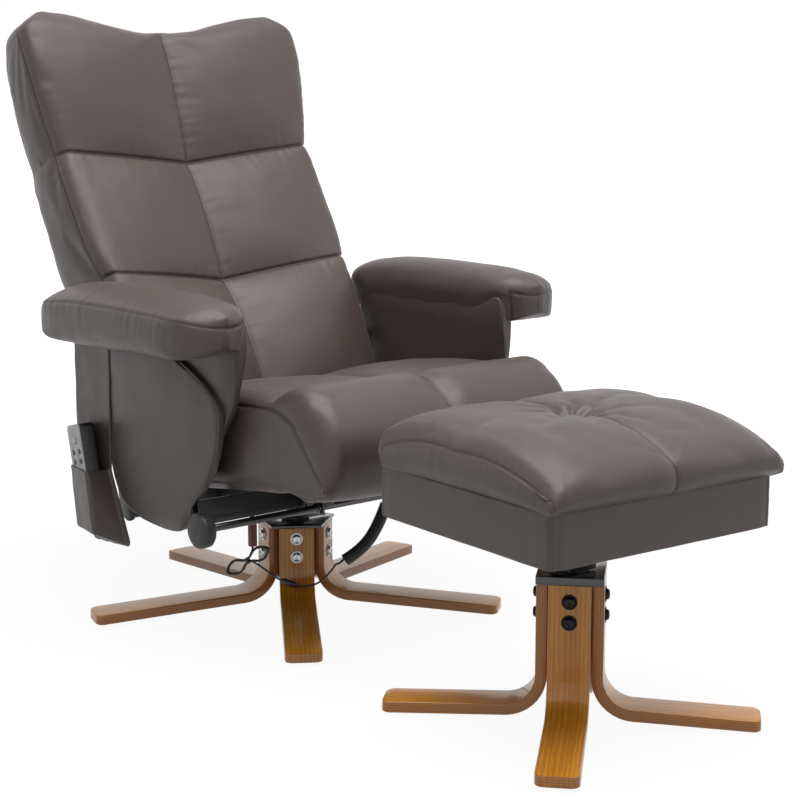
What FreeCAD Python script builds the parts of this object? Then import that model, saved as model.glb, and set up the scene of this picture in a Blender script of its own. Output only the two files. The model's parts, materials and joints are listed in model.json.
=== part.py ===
import FreeCAD, Part
import math
import os
from FreeCAD import Vector

# A swivel recliner with massage pads and a storage footstool, both on bentwood star bases.
# X runs to the sitter's left, Y to the back, Z up. Sizes are millimetres and angles degrees.

origin = Vector(0, 0, 0)
x_axis = Vector(1, 0, 0)
y_axis = Vector(0, 1, 0)
z_axis = Vector(0, 0, 1)
overrun = 5.0            # how far a cutting tool runs past the face that it cuts
running_gap = 0.05       # radial clearance of a pin or shaft that turns in its hole
soft_gap = 0.3           # air round a part that lies in a pocket
half_share = 0.5

# Bentwood legs of both bases
leg_width = 60.0
leg_thickness = 17.0
leg_corner = 12.0        # round on the tip's corners, seen from above
leg_edge = 2.0           # bevel on the long edges
leg_slope = 2.0          # the foot rises towards the hub
leg_bend = 45.0          # inner radius of the bend from foot to board
glide_height = 4.0
glide_radius = 11.0
glide_inset = 26.0       # from the tip to the glide's centre

# Chair base
leg_count = 5
first_leg_turn = -34.9   # the front leg from straight ahead
leg_tip_radius = 362.0
board_top = 143.0
hub_apothem = 42.0       # from the axis to the back of a board
hub_foot = 52.0          # height of the hub tube's lower end
cap_thickness = 5.0
bolt_heights = (93.0, 125.0)

# Footstool base
stool_x = -54.6
stool_y = -723.9
stool_turn = -4.0        # the whole footstool stands a little askew to the chair
stool_leg_count = 4
stool_leg_turn = -45.0
stool_leg_tip_radius = 269.0
stool_board_top = 210.0
stool_hub_apothem = 31.0
stool_hub_foot = 138.0
stool_cap_thickness = 12.0
stool_bolt_heights = (157.0, 187.0)
stool_post_radius = 11.0
stool_plate_side = 190.0
stool_plate_thickness = 4.0
stool_channel_half = 24.0

# Steel hub tubes, and the bolts and washers through the boards
hub_wall = 3.0
bolt_radius = 4.0
bolt_head_radius = 8.0
bolt_head_height = 4.5
bolt_head_shoulder = (7.3, 2.6)
bolt_tail = 4.0          # length of shank inside the hub tube
washer_radius = 11.0
washer_thickness = 1.5

# Swivel column
column_radius = 15.0
bush_wall = 3.0
sleeve_wall = 3.0
bush_collar = 2.0
collar_radius = 24.0

# Underframe, in a frame of its own that is tipped front up
frame_tilt = 9.0
frame_height = 207.0     # height of its centre line over the swivel axis
rail_width = 20.0
rail_height = 38.0
rail_wall = 2.0
rail_x = 90.0            # centre of a rail
rail_front = -134.0
rail_back = 96.0
beam_depth = 20.0
front_beam_reach = 300.0
rear_beam_reach = 270.0
cross_bars = ((-60.0, 140.0), (40.0, 80.0))  # y, half length
cross_bar_height = 20.0
column_plate_half = 60.0
column_plate_thickness = 5.0
slide_pad_height = 2.0
slide_pad_length = 40.0
slide_pad_at = (-130.0, 30.0)

# Clamp shaft and its handwheel
shaft_radius = 6.0
shaft_y = -202.0
shaft_z = -19.0          # from the underframe's centre line
shaft_ear = 12.0         # metal round the shaft
nut_radius = 10.0
nut_length = 8.0
knob_inner_x = -317.0
knob_outer_x = -340.0
knob_radius = 28.0
knob_rib_count = 30
knob_rib_radius = 1.5
knob_rib_depth = 0.9
# Handwheel outline: distance from its inner face, and radius
knob_points = ((0, 0), (0, 18), (2, 24.5), (5, 27.4), (18, 28), (21.6, 26.4), (23.2, 22.5), (24.4, 14), (24.8, 0))

# Seat rails that slide forward as the back goes down
seat_travel = 34.0
seat_rail_thickness = 3.0
seat_rail_gap = 1.0
seat_flange_inner = 72.0
seat_flange_front = -300.0
seat_flange_back = 60.0
seat_link_front = 26.0
link_head = 11.0
link_slot_half = 3.0
strut_radius = 3.0
strut_at = (-280.0, -190.0, -60.0, 30.0)

# Seat cushion, in the underframe's frame. Points are y, z, share of the end pull, share of the end drop.
seat_half_width = 262.0
seat_points = (
    (16, 39, -0.4, 0), (-332, 39, 0, 0), (-368, 16, 0.3, 0), (-416, 16, 1, 0),
    ((-450, 84, 1, 0.5), (-410, 166, 1, 1)),
    ((-370, 188, 0.3, 1), (-322, 174, 0, 1)),
    ((-160, 190, 0, 1), (-8, 178, -0.2, 1)),
    ((11, 168, -0.4, 1), (16, 142, -0.4, 0.6)),
)
# Cuts through the seat: share of the half width, drop of the top, pull of the front
seat_cuts = ((0, 12, 6), (0.1, 3, 1.5), (0.5, 0, 0), (0.86, 3, 2), (0.95, 11, 9), (1, 24, 22))
seat_bottom = 39.0
seat_board_thickness = 12.0
seat_board_side = 14.0   # cushion round the board
seat_board_front = -318.0
seat_board_back = 2.0
motor_radius = 24.0
motor_height = 15.0
motor_round = 3.0        # bevel on the case's front edge
seat_motor_x = 125.0
seat_motor_y = (-250.0, -70.0)
control_box_x = (6.0, 78.0)
control_box_depth = 70.0
control_box_height = 34.0

# Back. The middle seam leans back in three straight rows: y, z at the foot, both cross seams and the top.
recline_range = 28.0
pivot = Vector(0, 150.0, 430.0)
lever = 70.0             # from the pivot down to the pin that drives the seat
lever_lean = 5.0
back_line = ((71.0, 322.0), (211.0, 546.0), (318.0, 750.0), (398.0, 985.0))
cushion_depth = 40.0     # foam behind the middle seam
cover_near = 42.0
cover_far = 98.0
side_seam_in = 12.0      # from the widest point in to the side seam
side_swell_down = 20.0
side_inset = 4.0
crown_at_share = 0.52
cover_corner = 16.0
# Cuts through a row: share of the row's height, half width, crown, how far the side seam stands forward, tip of
# the cut towards the ear, foam left behind the middle seam, padding left behind the frame
back_rows = (
    ((0, 244, 4, 26, 0, 1, 0.8), (0.12, 250, 14, 30, 0.5, 1, 1), (0.5, 254, 24, 46, 1.5, 1, 1),
     (0.86, 256, 16, 50, 2.2, 1, 1), (1, 258, 2, 50, 2.5, 1, 1)),
    ((0, 258, 2, 50, 2.5, 1, 1), (0.14, 267, 16, 48, 2.8, 1, 1), (0.5, 273, 24, 40, 3.5, 1, 1),
     (0.86, 273, 16, 31, 4.2, 1, 1), (1, 268, 2, 28, 4.4, 1, 1)),
    ((0, 268, 2, 28, 4.4, 1, 1), (0.14, 276, 16, 30, 4.6, 1, 0.94), (0.45, 287, 24, 33, 5.2, 1, 0.8),
     (0.76, 296, 20, 34, 6, 0.95, 0.68), (0.93, 286, 8, 20, 6.5, 0.8, 0.56), (1, 258, -3, 2, 7, 0.55, 0.42)),
)
cover_slimmer = 4.0      # the cover's half width under the cushion's

# Steel tube frame in the back, along the same line
tube_radius = 9.0
tube_depth = 52.0        # behind the middle seam
tube_x = 236.0
# Places along the back: row and share of the row
tube_foot = (0, 0.14)
tube_stub = (0, 0.51)
tube_bends = ((0, 1.0), (1, 1.0))
tube_head = (2, 0.86)
tube_cross = ((0, 0.39), (1, 0.45), (2, 0.4), (2, 0.86))
back_motor_at = ((0, 0.78), (1, 0.5))
back_motor_x = 105.0
lug_inner_x = 258.5
lug_thickness = 4.0
lug_round = 12.0
pivot_pin_radius = 5.0
pivot_head_radius = 9.0
pivot_head = 2.1
inner_lug_x = 105.5
rear_pin_radius = 4.0
rear_pin_reach = (98.5, 112.0)
notch_x = (97.0, 114.5)
notch_back = 21.0
notch_length = 190.0
notch_turns = (-13.0, 53.0)  # wedge of room round the link, from straight down towards the front

# Arm pads, as seen in cuts across them: x, z, share of the inner inset, outer inset, rise and drop
arm_tilt = 1.0
arm_tilt_at = Vector(0, -40.0, 486.0)
arm_points = (
    (262, 486, 1, 0, 1, 0), (380, 486, 0, 1, 1, 0),
    ((387, 489, 0, 1, 1, 0), (390, 496, 0, 1, 1, 0)),
    (390, 551, 0, 1, 0, 1),
    ((340, 574, 0.5, 0.5, 0, 1), (280, 568, 1, 0, 0, 1)),
    ((267, 560, 1, 0, 0, 1), (262, 546, 1, 0, 0, 1)),
)
# y, inset of the inner side, inset of the outer side, rise of the underside, drop of the top
arm_cuts = ((197, 32, 36, 14, 22), (190, 14, 17, 5, 9), (176, 4, 5, 1, 3), (158, 0, 0, 0, 0), (-30, 0, 0, 0, 0),
            (-206, 0, 0, 0, 0), (-237, 8, 8, 3, 1), (-254, 21, 21, 9, 4), (-264, 36, 36, 18, 8), (-270, 50, 50, 28, 15))

# Upholstered panels under the pads. Points are y, z, and pairs are an arc's middle and end.
inner_panel_x = (274.0, 290.0)
inner_panel_points = (
    (150, 510), (-238, 510), (-240, 476), (-236, 437), ((-232, 412), (-222, 396)), (-197, 361), (-174, 336),
    (-148, 290), (-94, 245), (-60, 204), (90, 204), (150, 300))
shield_x = (290.0, 306.0)
shield_points = (
    (112, 510), (80, 216), ((70, 207), (50, 204)), (-16, 193), (-76, 190), ((-100, 193), (-109, 208)),
    (-122, 240), (-168, 281), ((-197, 325), (-204, 372)), ((-199, 399), (-178, 418)), (-99, 460), (-10, 510))
bracket_x = (270.0, 274.0)
bracket_bar = 15.0       # half height of the bar along the underframe
bracket_round = 24.0

# Remote control and the pocket it hangs in
remote_at = Vector(-330.0, 137.3, 253.0)
remote_turn = -10.0
remote_lean = -14.0
remote_width = 60.0
remote_length = 165.0
remote_depth = 27.0
remote_corner = 8.0
remote_edge = 4.0
faceplate = 2.0
button_travel = 1.2
button_proud = 1.6
button_flange = 1.0
button_lip = 1.0
# Buttons: sideways, height above the middle, radius
button_places = ((0, 55, 6.5), (-14, 36, 4), (14, 36, 4), (-14, 20, 4), (14, 20, 4))
strip_x = (-309.5, -306.5)
strip_points = ((91, 510), (96, 262), (45, 150), ((47, 141), (56, 138)), (150, 132), ((160, 136), (165, 146)),
                (205, 262), (205, 510))
# Pouch: y, z of its corners on the strip, and those of its outer face
pouch_base = ((101, 262), (49, 140), (152, 136), (178, 262))
pouch_face = ((103, 262), (74, 162), (154, 162), (176, 262))
pouch_wall = 3.0
pouch_gap = 1.0          # between the remote's face and the pouch
pouch_round = 6.0

# Cords: red plug under the frame, one lead with a tied hank, an inline plug, and the curly cord
plug_at = Vector(-127.0, -50.0, 129.0)
plug_size = (13.0, 12.0, 46.0)
plug_round = 3.0
plug_neck_radius = 4.5
plug_neck_top = 202.0
lead_radius = 1.75
lead_sides = 6
hank_centre = Vector(-122.0, -29.0, 99.0)
hank_along = Vector(0.665, -0.548, 0.508)
hank_away = Vector(0.693, 0.707, -0.144)
hank_turns = 4
hank_step = 4.2
hank_waist = 2.3
hank_waist_run = 5.0
hank_lobe = 11.0
hank_lobe_at = 20.0
hank_tip = 36.0
tie_width = 5.0
tie_wall = 1.0
inline_start = Vector(-72.0, -54.0, 60.0)
inline_end = Vector(-50.0, -73.0, 50.0)
inline_radius = 5.0
inline_neck = 3.0
inline_taper = 6.0
# Lead from the inline plug to the curly cord: points and headings
end_lead = (((-24, -94, 53), (0.66, -0.55, 0.5)), ((-7, -106, 77), (0, 0, 1)), ((1, -112, 88), (0.75, -0.66, 0)))
curl_start = Vector(5.0, -115.5, 88.0)
# Axis of the curly cord: points and headings
curl_axis = (((5, -115.5, 88), (0.75, -0.66, 0)), ((37, -138, 112), (0.5, -0.26, 0.82)),
             ((70, -147, 158), (0.46, 0, 0.89)), ((92, -144, 197), (0.1, 0, 1)))
curl_wire_radius = 1.8
curl_radius = 8.4
curl_count = 23
curl_sides = 6
curl_steps = 4           # nodes to a curl
curl_lead = 4.5          # straight wire at both ends
curl_run_in = 9.0
gland_radius = 8.0
gland_length = 30.0

# Footstool box and lid, about the footstool's own axis
box_width = 404.0
box_depth = 372.0
box_bottom = 291.0
box_top = 366.0
box_wall = 14.0
box_corner = 12.0
floor_thickness = 9.0
hinge_out = 3.4          # from the box's rear wall to the pin
hinge_z = 362.6
hinge_pin_radius = 1.3
knuckle_radius = 3.0
knuckle_length = 19.0
knuckle_gap = 0.5
leaf_thickness = 1.2
leaf_height = 30.0
leaf_reach = 6.0
hinge_x = (-120.0, 120.0)
lid_gap = 0.4            # between the box's rim and the lid
lid_board_thickness = 9.0
lid_board_inset = 10.0
lid_overhang = 9.0       # of the cushion past each side of the box
# Points of the lid's outline from the side: share of half the box's depth, length past that, height over the rim,
# share of the pull, share of the drop
lid_points = (
    (1, 8, 0, -1, 0), (-1, -9, 0, 0, 0),
    ((-1, -18, 18, 0.3, 0), (-1, -4, 49, 0.3, 0.8)),
    ((-0.5, -12, 81, 0, 1), (0, 0, 86, 0, 1)),
    ((0.5, 12, 83, 0, 1), (1, -4, 62, -1, 0.8)),
    ((1, 7, 42, -1, 0.5), (1, 10, 12, -1, 0)),
)
lid_cuts = ((0, 3, 3), (0.08, 0, 0.5), (0.5, 1, 0), (0.85, 8, 2), (0.96, 21, 9), (1, 35, 24))
tuft_depth = 16.0
tuft_radius = 52.0
tuft_floor = 13.0
tuft_middle = (26.0, 6.0)
tuft_button_radius = 12.0
tuft_button_height = 6.0
tuft_button_shoulder = (10.2, 4.2)
tuft_button_flat = 4.0

nodes = {}
cord_nodes = ["lead_hank", "cord_tie", "inline_plug", "lead_end", "curly_cord", "power_plug", "cord_gland"]


def add(name, *shapes):
    """Keep the solids of one named piece."""
    solids = [solid for shape in shapes for solid in shape.Solids]
    nodes[name] = solids[0] if len(solids) == 1 else Part.makeCompound(solids)


def turned(shape, degrees, axis=z_axis, centre=origin):
    copy = shape.copy()
    copy.rotate(centre, axis, degrees)
    return copy


def moved(shape, x, y, z):
    copy = shape.copy()
    copy.translate(Vector(x, y, z))
    return copy


def mirrored(shape):
    """The same shape on the other side of the plane x = 0."""
    return shape.mirror(origin, x_axis)


def both(shape):
    return shape, mirrored(shape)


def block(x0, x1, y0, y1, z0, z1):
    return Part.makeBox(x1 - x0, y1 - y0, z1 - z0, Vector(x0, y0, z0))


def rod(radius, start, end):
    along = end - start
    return Part.makeCylinder(radius, along.Length, start, along)


def tube(outer, inner, start, end):
    return rod(outer, start, end).cut(rod(inner, start, end))


def outline(start, *steps):
    """A closed wire: a point is a line's end, a pair is an arc's middle and end."""
    edges = []
    here = start
    for step in steps:
        if isinstance(step, tuple):
            edges.append(Part.Arc(here, step[0], step[1]).toShape())
            here = step[1]
        else:
            edges.append(Part.LineSegment(here, step).toShape())
            here = step
    if not here.isEqual(start, running_gap):
        edges.append(Part.LineSegment(here, start).toShape())
    return Part.Wire(edges)


def slab(wire, depth):
    return Part.Face(wire).extrude(depth)


def placed(table, put):
    """An outline from a table of points, each put in place by a function of its numbers."""
    steps = [tuple(put(*p) for p in entry) if isinstance(entry[0], tuple) else put(*entry) for entry in table]
    return outline(*steps)


def plate(table, x0, x1):
    """A plate across X whose outline is a table of y, z."""
    return slab(placed(table, lambda y, z: Vector(x0, y, z)), Vector(x1 - x0, 0, 0))


def polygon_prism(sides, apothem, z0, z1):
    """A prism whose first flat faces straight ahead."""
    corner = apothem / math.cos(math.pi / sides)
    points = []
    for k in range(sides):
        angle = math.pi * (2 * k + 1) / sides
        points.append(Vector(corner * math.sin(angle), -corner * math.cos(angle), z0))
    return slab(outline(*points), Vector(0, 0, z1 - z0))


def straight(edge, direction):
    """Whether a straight edge runs along a direction."""
    if len(edge.Vertexes) < 2:
        return False
    along = edge.Vertexes[1].Point - edge.Vertexes[0].Point
    return abs(along.normalize().dot(direction)) > math.cos(math.radians(1))


def rounded(shape, radius, direction):
    return shape.makeFillet(radius, [edge for edge in shape.Edges if straight(edge, direction)])


def tilted(shape):
    """From the underframe's own frame to the room's."""
    return turned(moved(shape, 0, 0, frame_height), -frame_tilt, x_axis, Vector(0, 0, frame_height))


def tilted_point(x, y, z):
    return tilted(Part.Vertex(x, y, z)).Point


def obround(x0, x1, start, end, radius):
    """A plate across X with round ends about two points of the YZ plane."""
    along = (end - start).normalize()
    side = x_axis.cross(along) * radius
    tip = along * radius
    shift = Vector(x0, 0, 0)
    wire = outline(start + side + shift, (start - tip + shift, start - side + shift), end - side + shift,
                   (end + tip + shift, end + side + shift))
    return slab(wire, Vector(x1 - x0, 0, 0))


# Bentwood leg: a flat board bent once, from the foot's tip up to the hub


def bent_leg(apothem, tip_radius, top):
    """One leg that points straight ahead, with its foot's underside just over the floor."""
    slope = math.tan(math.radians(leg_slope))
    lean = math.radians(leg_slope)
    outer_face = apothem + leg_thickness
    rise = leg_thickness / math.cos(lean)
    outer_bend = leg_bend + leg_thickness
    turn = math.radians(90 - leg_slope)
    centre_r = apothem + outer_bend
    centre_z = glide_height + (tip_radius - centre_r) * slope + outer_bend / math.cos(lean)

    def bent(radius, angle):
        return Vector(0, -(centre_r - radius * math.cos(angle)), centre_z - radius * math.sin(angle))

    profile = outline(
        Vector(0, -tip_radius, glide_height),
        bent(outer_bend, turn),
        (bent(outer_bend, turn / 2), Vector(0, -apothem, centre_z)),
        Vector(0, -apothem, top),
        Vector(0, -outer_face, top),
        Vector(0, -outer_face, centre_z),
        (bent(leg_bend, turn / 2), bent(leg_bend, turn)),
        Vector(0, -tip_radius, glide_height + rise),
    )
    profile.translate(Vector(-leg_width / 2, 0, 0))
    board = slab(profile, Vector(leg_width, 0, 0))
    tips = [e for e in board.Edges if straight(e, z_axis) and e.CenterOfMass.y < -tip_radius + leg_edge]
    board = board.makeFillet(leg_corner, tips)
    long_edges = [e for e in board.Edges if abs(abs(e.CenterOfMass.x) - leg_width / 2) < running_gap
                  and e.CenterOfMass.z < top - leg_edge]
    return board.makeChamfer(leg_edge, long_edges)


def leg_bolt(apothem, height):
    """A button-head bolt and its washer on a leg that points straight ahead."""
    face = -(apothem + leg_thickness)
    seat = face - washer_thickness
    washer = tube(washer_radius, bolt_radius + running_gap, Vector(0, seat, height), Vector(0, face, height))
    wire = outline(
        Vector(0, seat, 0),
        Vector(bolt_head_radius, seat, 0),
        Vector(bolt_head_shoulder[0], seat - bolt_head_shoulder[1], 0),
        Vector(bolt_radius, seat - bolt_head_height, 0),
        Vector(0, seat - bolt_head_height, 0),
    )
    head = Part.Face(wire).revolve(origin, y_axis, 360)
    shank = rod(bolt_radius, Vector(0, seat, 0), Vector(0, -apothem + hub_wall + bolt_tail, 0))
    return moved(head.fuse(shank), 0, 0, height), washer


def star_base(prefix, count, first_turn, apothem, tip_radius, top, heights, place):
    """Legs, bolts, washers and glides of one base."""
    leg = bent_leg(apothem, tip_radius, top)
    for height in heights:
        leg = leg.cut(rod(bolt_radius + running_gap, Vector(0, -apothem - leg_thickness - overrun, height),
                          Vector(0, -apothem + overrun, height)))
    pairs = [leg_bolt(apothem, height) for height in heights]
    glide = rod(glide_radius, Vector(0, -tip_radius + glide_inset, 0),
                Vector(0, -tip_radius + glide_inset, glide_height + leg_thickness / 2)).cut(leg)
    legs = []
    bolts = []
    washers = []
    glides = []
    for k in range(count):
        degrees = first_turn + 360 * k / count
        legs.append(place(turned(leg, degrees)))
        glides.append(place(turned(glide, degrees)))
        bolts += [place(turned(bolt, degrees)) for bolt, _ in pairs]
        washers += [place(turned(washer, degrees)) for _, washer in pairs]
    add(f"{prefix}_legs", *legs)
    add(f"{prefix}_bolts", *bolts)
    add(f"{prefix}_washers", *washers)
    add(f"{prefix}_glides", *glides)


def hub(sides, apothem, foot, top, cap_height, heights, sleeve_outer, sleeve_inner):
    """Steel tube behind the boards with its web and sleeve, and the plate that covers the board ends."""
    below = foot - overrun
    above = top + cap_height + overrun
    body = polygon_prism(sides, apothem, foot, top).cut(polygon_prism(sides, apothem - hub_wall, below, above))
    web = polygon_prism(sides, apothem - hub_wall, foot, foot + hub_wall)
    body = body.fuse([web, rod(sleeve_outer, Vector(0, 0, foot), Vector(0, 0, top))])
    bore = rod(sleeve_inner, Vector(0, 0, below), Vector(0, 0, above))
    body = body.cut(bore)
    cap = rounded(polygon_prism(sides, apothem + leg_thickness, top, top + cap_height), hub_wall, z_axis).cut(bore)
    for k in range(sides):
        for height in heights:
            hole = rod(bolt_radius, Vector(0, -apothem - overrun, height),
                       Vector(0, -apothem + hub_wall + overrun, height))
            body = body.cut(turned(hole, 360 * k / sides))
    return body, cap


def chair_base():
    star_base("base", leg_count, first_leg_turn, hub_apothem, leg_tip_radius, board_top, bolt_heights,
              lambda shape: shape)
    bush_outer = column_radius + running_gap + bush_wall
    body, cap = hub(leg_count, hub_apothem, hub_foot, board_top, cap_thickness, bolt_heights,
                    bush_outer + sleeve_wall, bush_outer)
    add("base_hub", turned(body, first_leg_turn))
    add("base_top_plate", turned(cap, first_leg_turn))
    top = board_top + cap_thickness
    bush = rod(bush_outer, Vector(0, 0, hub_foot), Vector(0, 0, top))
    bush = bush.fuse(rod(collar_radius, Vector(0, 0, top), Vector(0, 0, top + bush_collar)))
    add("swivel_bush", bush.cut(rod(column_radius + running_gap, Vector(0, 0, hub_foot - overrun),
                                    Vector(0, 0, top + bush_collar + overrun))))


def at_stool(shape):
    return moved(turned(shape, stool_turn), stool_x, stool_y, 0)


def footstool_base():
    star_base("stool", stool_leg_count, stool_leg_turn, stool_hub_apothem, stool_leg_tip_radius,
              stool_board_top, stool_bolt_heights, at_stool)
    body, cap = hub(stool_leg_count, stool_hub_apothem, stool_hub_foot, stool_board_top, stool_cap_thickness,
                    stool_bolt_heights, stool_post_radius + sleeve_wall, stool_post_radius)
    add("stool_hub", at_stool(turned(body, stool_leg_turn)))
    add("stool_top_plate", at_stool(turned(cap, stool_leg_turn)))
    top = stool_board_top + stool_cap_thickness
    post = rod(stool_post_radius, Vector(0, 0, stool_hub_foot),
               Vector(0, 0, box_bottom - stool_plate_thickness - soft_gap))
    shoulder = rod(collar_radius, Vector(0, 0, top), Vector(0, 0, top + bush_collar))
    add("stool_post", at_stool(post.fuse(shoulder)))


# Underframe that turns on the column and carries arms, seat and back


def hollow_bar(x0, x1, y0, y1, along_x):
    """Rectangular steel tube along X or Y."""
    half = rail_height / 2
    side = 0 if along_x else rail_wall
    end = rail_wall if along_x else 0
    past_side = overrun if along_x else 0
    past_end = 0 if along_x else overrun
    outer = block(x0, x1, y0, y1, -half, half)
    return outer.cut(block(x0 + side - past_side, x1 - side + past_side, y0 + end - past_end, y1 - end + past_end,
                           -half + rail_wall, half - rail_wall))


def underframe():
    half = rail_height / 2
    side = column_plate_half
    foot = board_top + cap_thickness + bush_collar
    socket = tilted(block(-side, side, -side, side, -half - column_plate_thickness, half))
    column = rod(column_radius, Vector(0, 0, hub_foot), Vector(0, 0, frame_height))
    column = column.fuse(rod(collar_radius, Vector(0, 0, foot), Vector(0, 0, foot + hub_wall)))
    add("swivel_column", lowest(column.cut(socket)))

    inner = rail_x - rail_width / 2
    outer = rail_x + rail_width / 2
    front = hollow_bar(-front_beam_reach, front_beam_reach, rail_front - beam_depth, rail_front, True)
    rear = hollow_bar(-rear_beam_reach, rear_beam_reach, rail_back, rail_back + beam_depth, True)
    pieces = [rear, block(-side, side, -side, side, -half - column_plate_thickness, -half)]
    pieces += both(hollow_bar(inner, outer, rail_front, rail_back, False))
    for y, reach in cross_bars:
        pieces.append(block(-reach, reach, y, y + beam_depth, -half, -half + cross_bar_height))
    pieces += both(block(inner, outer, shaft_y - shaft_ear, rail_front - beam_depth, -half, shaft_z + shaft_ear))
    frame = front.fuse(pieces)
    frame = frame.cut(rod(shaft_radius + running_gap, Vector(-rear_beam_reach, shaft_y, shaft_z),
                          Vector(rear_beam_reach, shaft_y, shaft_z)))
    add("underframe", tilted(frame))
    pads = []
    for y in slide_pad_at:
        pads += both(block(inner, outer, y, y + slide_pad_length, half, half + slide_pad_height))
    add("slide_pads", *[tilted(pad) for pad in pads])
    box = block(*control_box_x, rail_front, rail_front + control_box_depth, -half, -half + control_box_height)
    box = rounded(box, plug_round, y_axis)
    add("control_box", tilted(box))


def clamp():
    """Threaded shaft across the front of the frame, and the moulded wheel on its end."""
    start = Vector((knob_inner_x + knob_outer_x) / 2, shaft_y, shaft_z)
    nut_x = rail_x + rail_width / 2 + seat_rail_gap + seat_rail_thickness + seat_rail_gap
    shaft = rod(shaft_radius, start, Vector(nut_x + nut_length + overrun, shaft_y, shaft_z))
    nut = turned(polygon_prism(6, nut_radius, nut_x, nut_x + nut_length), 90, y_axis)
    collar = rod(nut_radius, Vector(-nut_x - nut_length / 2, shaft_y, shaft_z), Vector(-nut_x, shaft_y, shaft_z))
    add("clamp_shaft", tilted(shaft.fuse([moved(nut, 0, shaft_y, shaft_z), collar])))

    wire = outline(*[Vector(knob_inner_x - x, radius, 0) for x, radius in knob_points])
    wheel = Part.Face(wire).revolve(origin, x_axis, 360)
    rib_y = knob_radius + knob_rib_radius - knob_rib_depth
    groove = rod(knob_rib_radius, Vector(knob_inner_x - knob_points[3][0], rib_y, 0),
                 Vector(knob_inner_x - knob_points[4][0], rib_y, 0))
    wheel = wheel.cut([turned(groove, 360 * k / knob_rib_count, x_axis) for k in range(knob_rib_count)])
    wheel = moved(wheel, 0, shaft_y, shaft_z).cut(
        rod(shaft_radius, start, Vector(knob_inner_x + overrun, shaft_y, shaft_z)))
    add("handwheel", tilted(wheel))


# Seat that slides on the rails


def motor(x, y, z):
    """Flat vibration motor in its round case."""
    case = Part.makeCylinder(motor_radius, motor_height, Vector(x, y, z))
    return case.makeChamfer(motor_round, [case.Edges[0]])


def motor_room(x, y, z):
    return Part.makeCylinder(motor_radius + soft_gap, motor_height + soft_gap + overrun, Vector(x, y, z - overrun))


def seat():
    wires = []
    for share, drop, pull in seat_cuts:
        x = share * seat_half_width
        wires.append(placed(seat_points, lambda y, z, p, d: Vector(x, y + p * pull, z - d * drop)))
    half = Part.makeLoft(wires, True, False)
    cushion = half.fuse(mirrored(half))
    board_x = seat_half_width - seat_board_side
    board_high = seat_bottom + seat_board_thickness
    cushion = cushion.cut(block(-board_x, board_x, seat_board_front, seat_board_back, seat_bottom - overrun, board_high))
    board = block(-board_x, board_x, seat_board_front, seat_board_back, seat_bottom, board_high)
    motors = []
    for y in seat_motor_y:
        motors += both(motor(seat_motor_x, y, board_high))
        cushion = cushion.cut(list(both(motor_room(seat_motor_x, y, board_high))))
    add("seat_cushion", tilted(cushion))
    add("seat_board", tilted(board))
    add("seat_motors", *[tilted(m) for m in motors])

    low = rail_height / 2 + slide_pad_height + soft_gap
    top = low + seat_rail_thickness
    inner = rail_x + rail_width / 2 + seat_rail_gap
    outer = inner + seat_rail_thickness
    flange = block(seat_flange_inner, outer, seat_flange_front, seat_flange_back, low, top)
    slot_radius = shaft_radius + soft_gap
    arm_back = shaft_y + seat_travel + shaft_ear
    arm = block(inner, outer, shaft_y - shaft_ear, arm_back, shaft_z - shaft_ear, top)
    slot = obround(inner - overrun, outer + overrun, Vector(0, shaft_y, shaft_z),
                   Vector(0, shaft_y + seat_travel, shaft_z), slot_radius)
    front = tilted(flange.fuse(arm).cut(slot))
    drive = drive_point()
    foot = tilted_point(0, (seat_link_front + seat_flange_back) / 2, (low + top) / 2)
    link = obround(inner, outer, foot, drive, link_head)
    across = Vector(0, math.sin(math.radians(frame_tilt)), math.cos(math.radians(frame_tilt))) * link_slot_half
    slot = obround(inner - overrun, outer + overrun, drive - across, drive + across, rear_pin_radius + soft_gap)
    below = tilted(block(inner - overrun, outer + overrun, -overrun, seat_flange_back * 2, -rail_height, low))
    link = link.cut(slot).cut(below)
    rail = front.fuse(link)
    add("seat_rails", *both(rail))
    struts = []
    for y in strut_at:
        struts += both(rod(strut_radius, Vector(rail_x, y, top), Vector(rail_x, y, seat_bottom)))
    add("seat_struts", *[tilted(s) for s in struts])


def drive_point():
    """Where the back's lower pins drive the seat's links."""
    lean = math.radians(lever_lean)
    return pivot + Vector(0, math.sin(lean), -math.cos(lean)) * lever


# Back: rows of sewn panels that lean back, hung on two pins at the arms


def row_lean(row):
    (y0, z0), (y1, z1) = back_line[row], back_line[row + 1]
    return math.degrees(math.atan2(y1 - y0, z1 - z0))


def seam_lean(index):
    if index == 0 or index == len(back_line) - 1:
        return row_lean(min(index, len(back_line) - 2))
    return (row_lean(index - 1) + row_lean(index)) / 2


def back_place(row, share):
    """A point of the middle seam, with the direction to the front there."""
    (y0, z0), (y1, z1) = back_line[row], back_line[row + 1]
    lean = math.radians(seam_lean(row) + (seam_lean(row + 1) - seam_lean(row)) * share)
    point = Vector(0, y0 + (y1 - y0) * share, z0 + (z1 - z0) * share)
    return point, Vector(0, -math.cos(lean), math.sin(lean))


def in_back(row, share, x, depth):
    point, front = back_place(row, share)
    return point - front * depth + Vector(x, 0, 0)


def cushion_cut(row, cut, side):
    share, half, crown, forward, tip, foam, _ = cut
    point, front = back_place(row, share)
    depth = cushion_depth * foam

    def at(x, n):
        return point + Vector(side * x, 0, 0) + front * n
    wire = outline(
        at(0, -depth),
        at(half - side_inset, -depth),
        at(half, forward - side_swell_down),
        (at(half - side_inset, forward - side_inset), at(half - side_seam_in, forward)),
        (at(half * crown_at_share, forward * half_share + crown), at(0, 0)),
    )
    wire.rotate(point, front, side * tip)
    return wire


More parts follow.
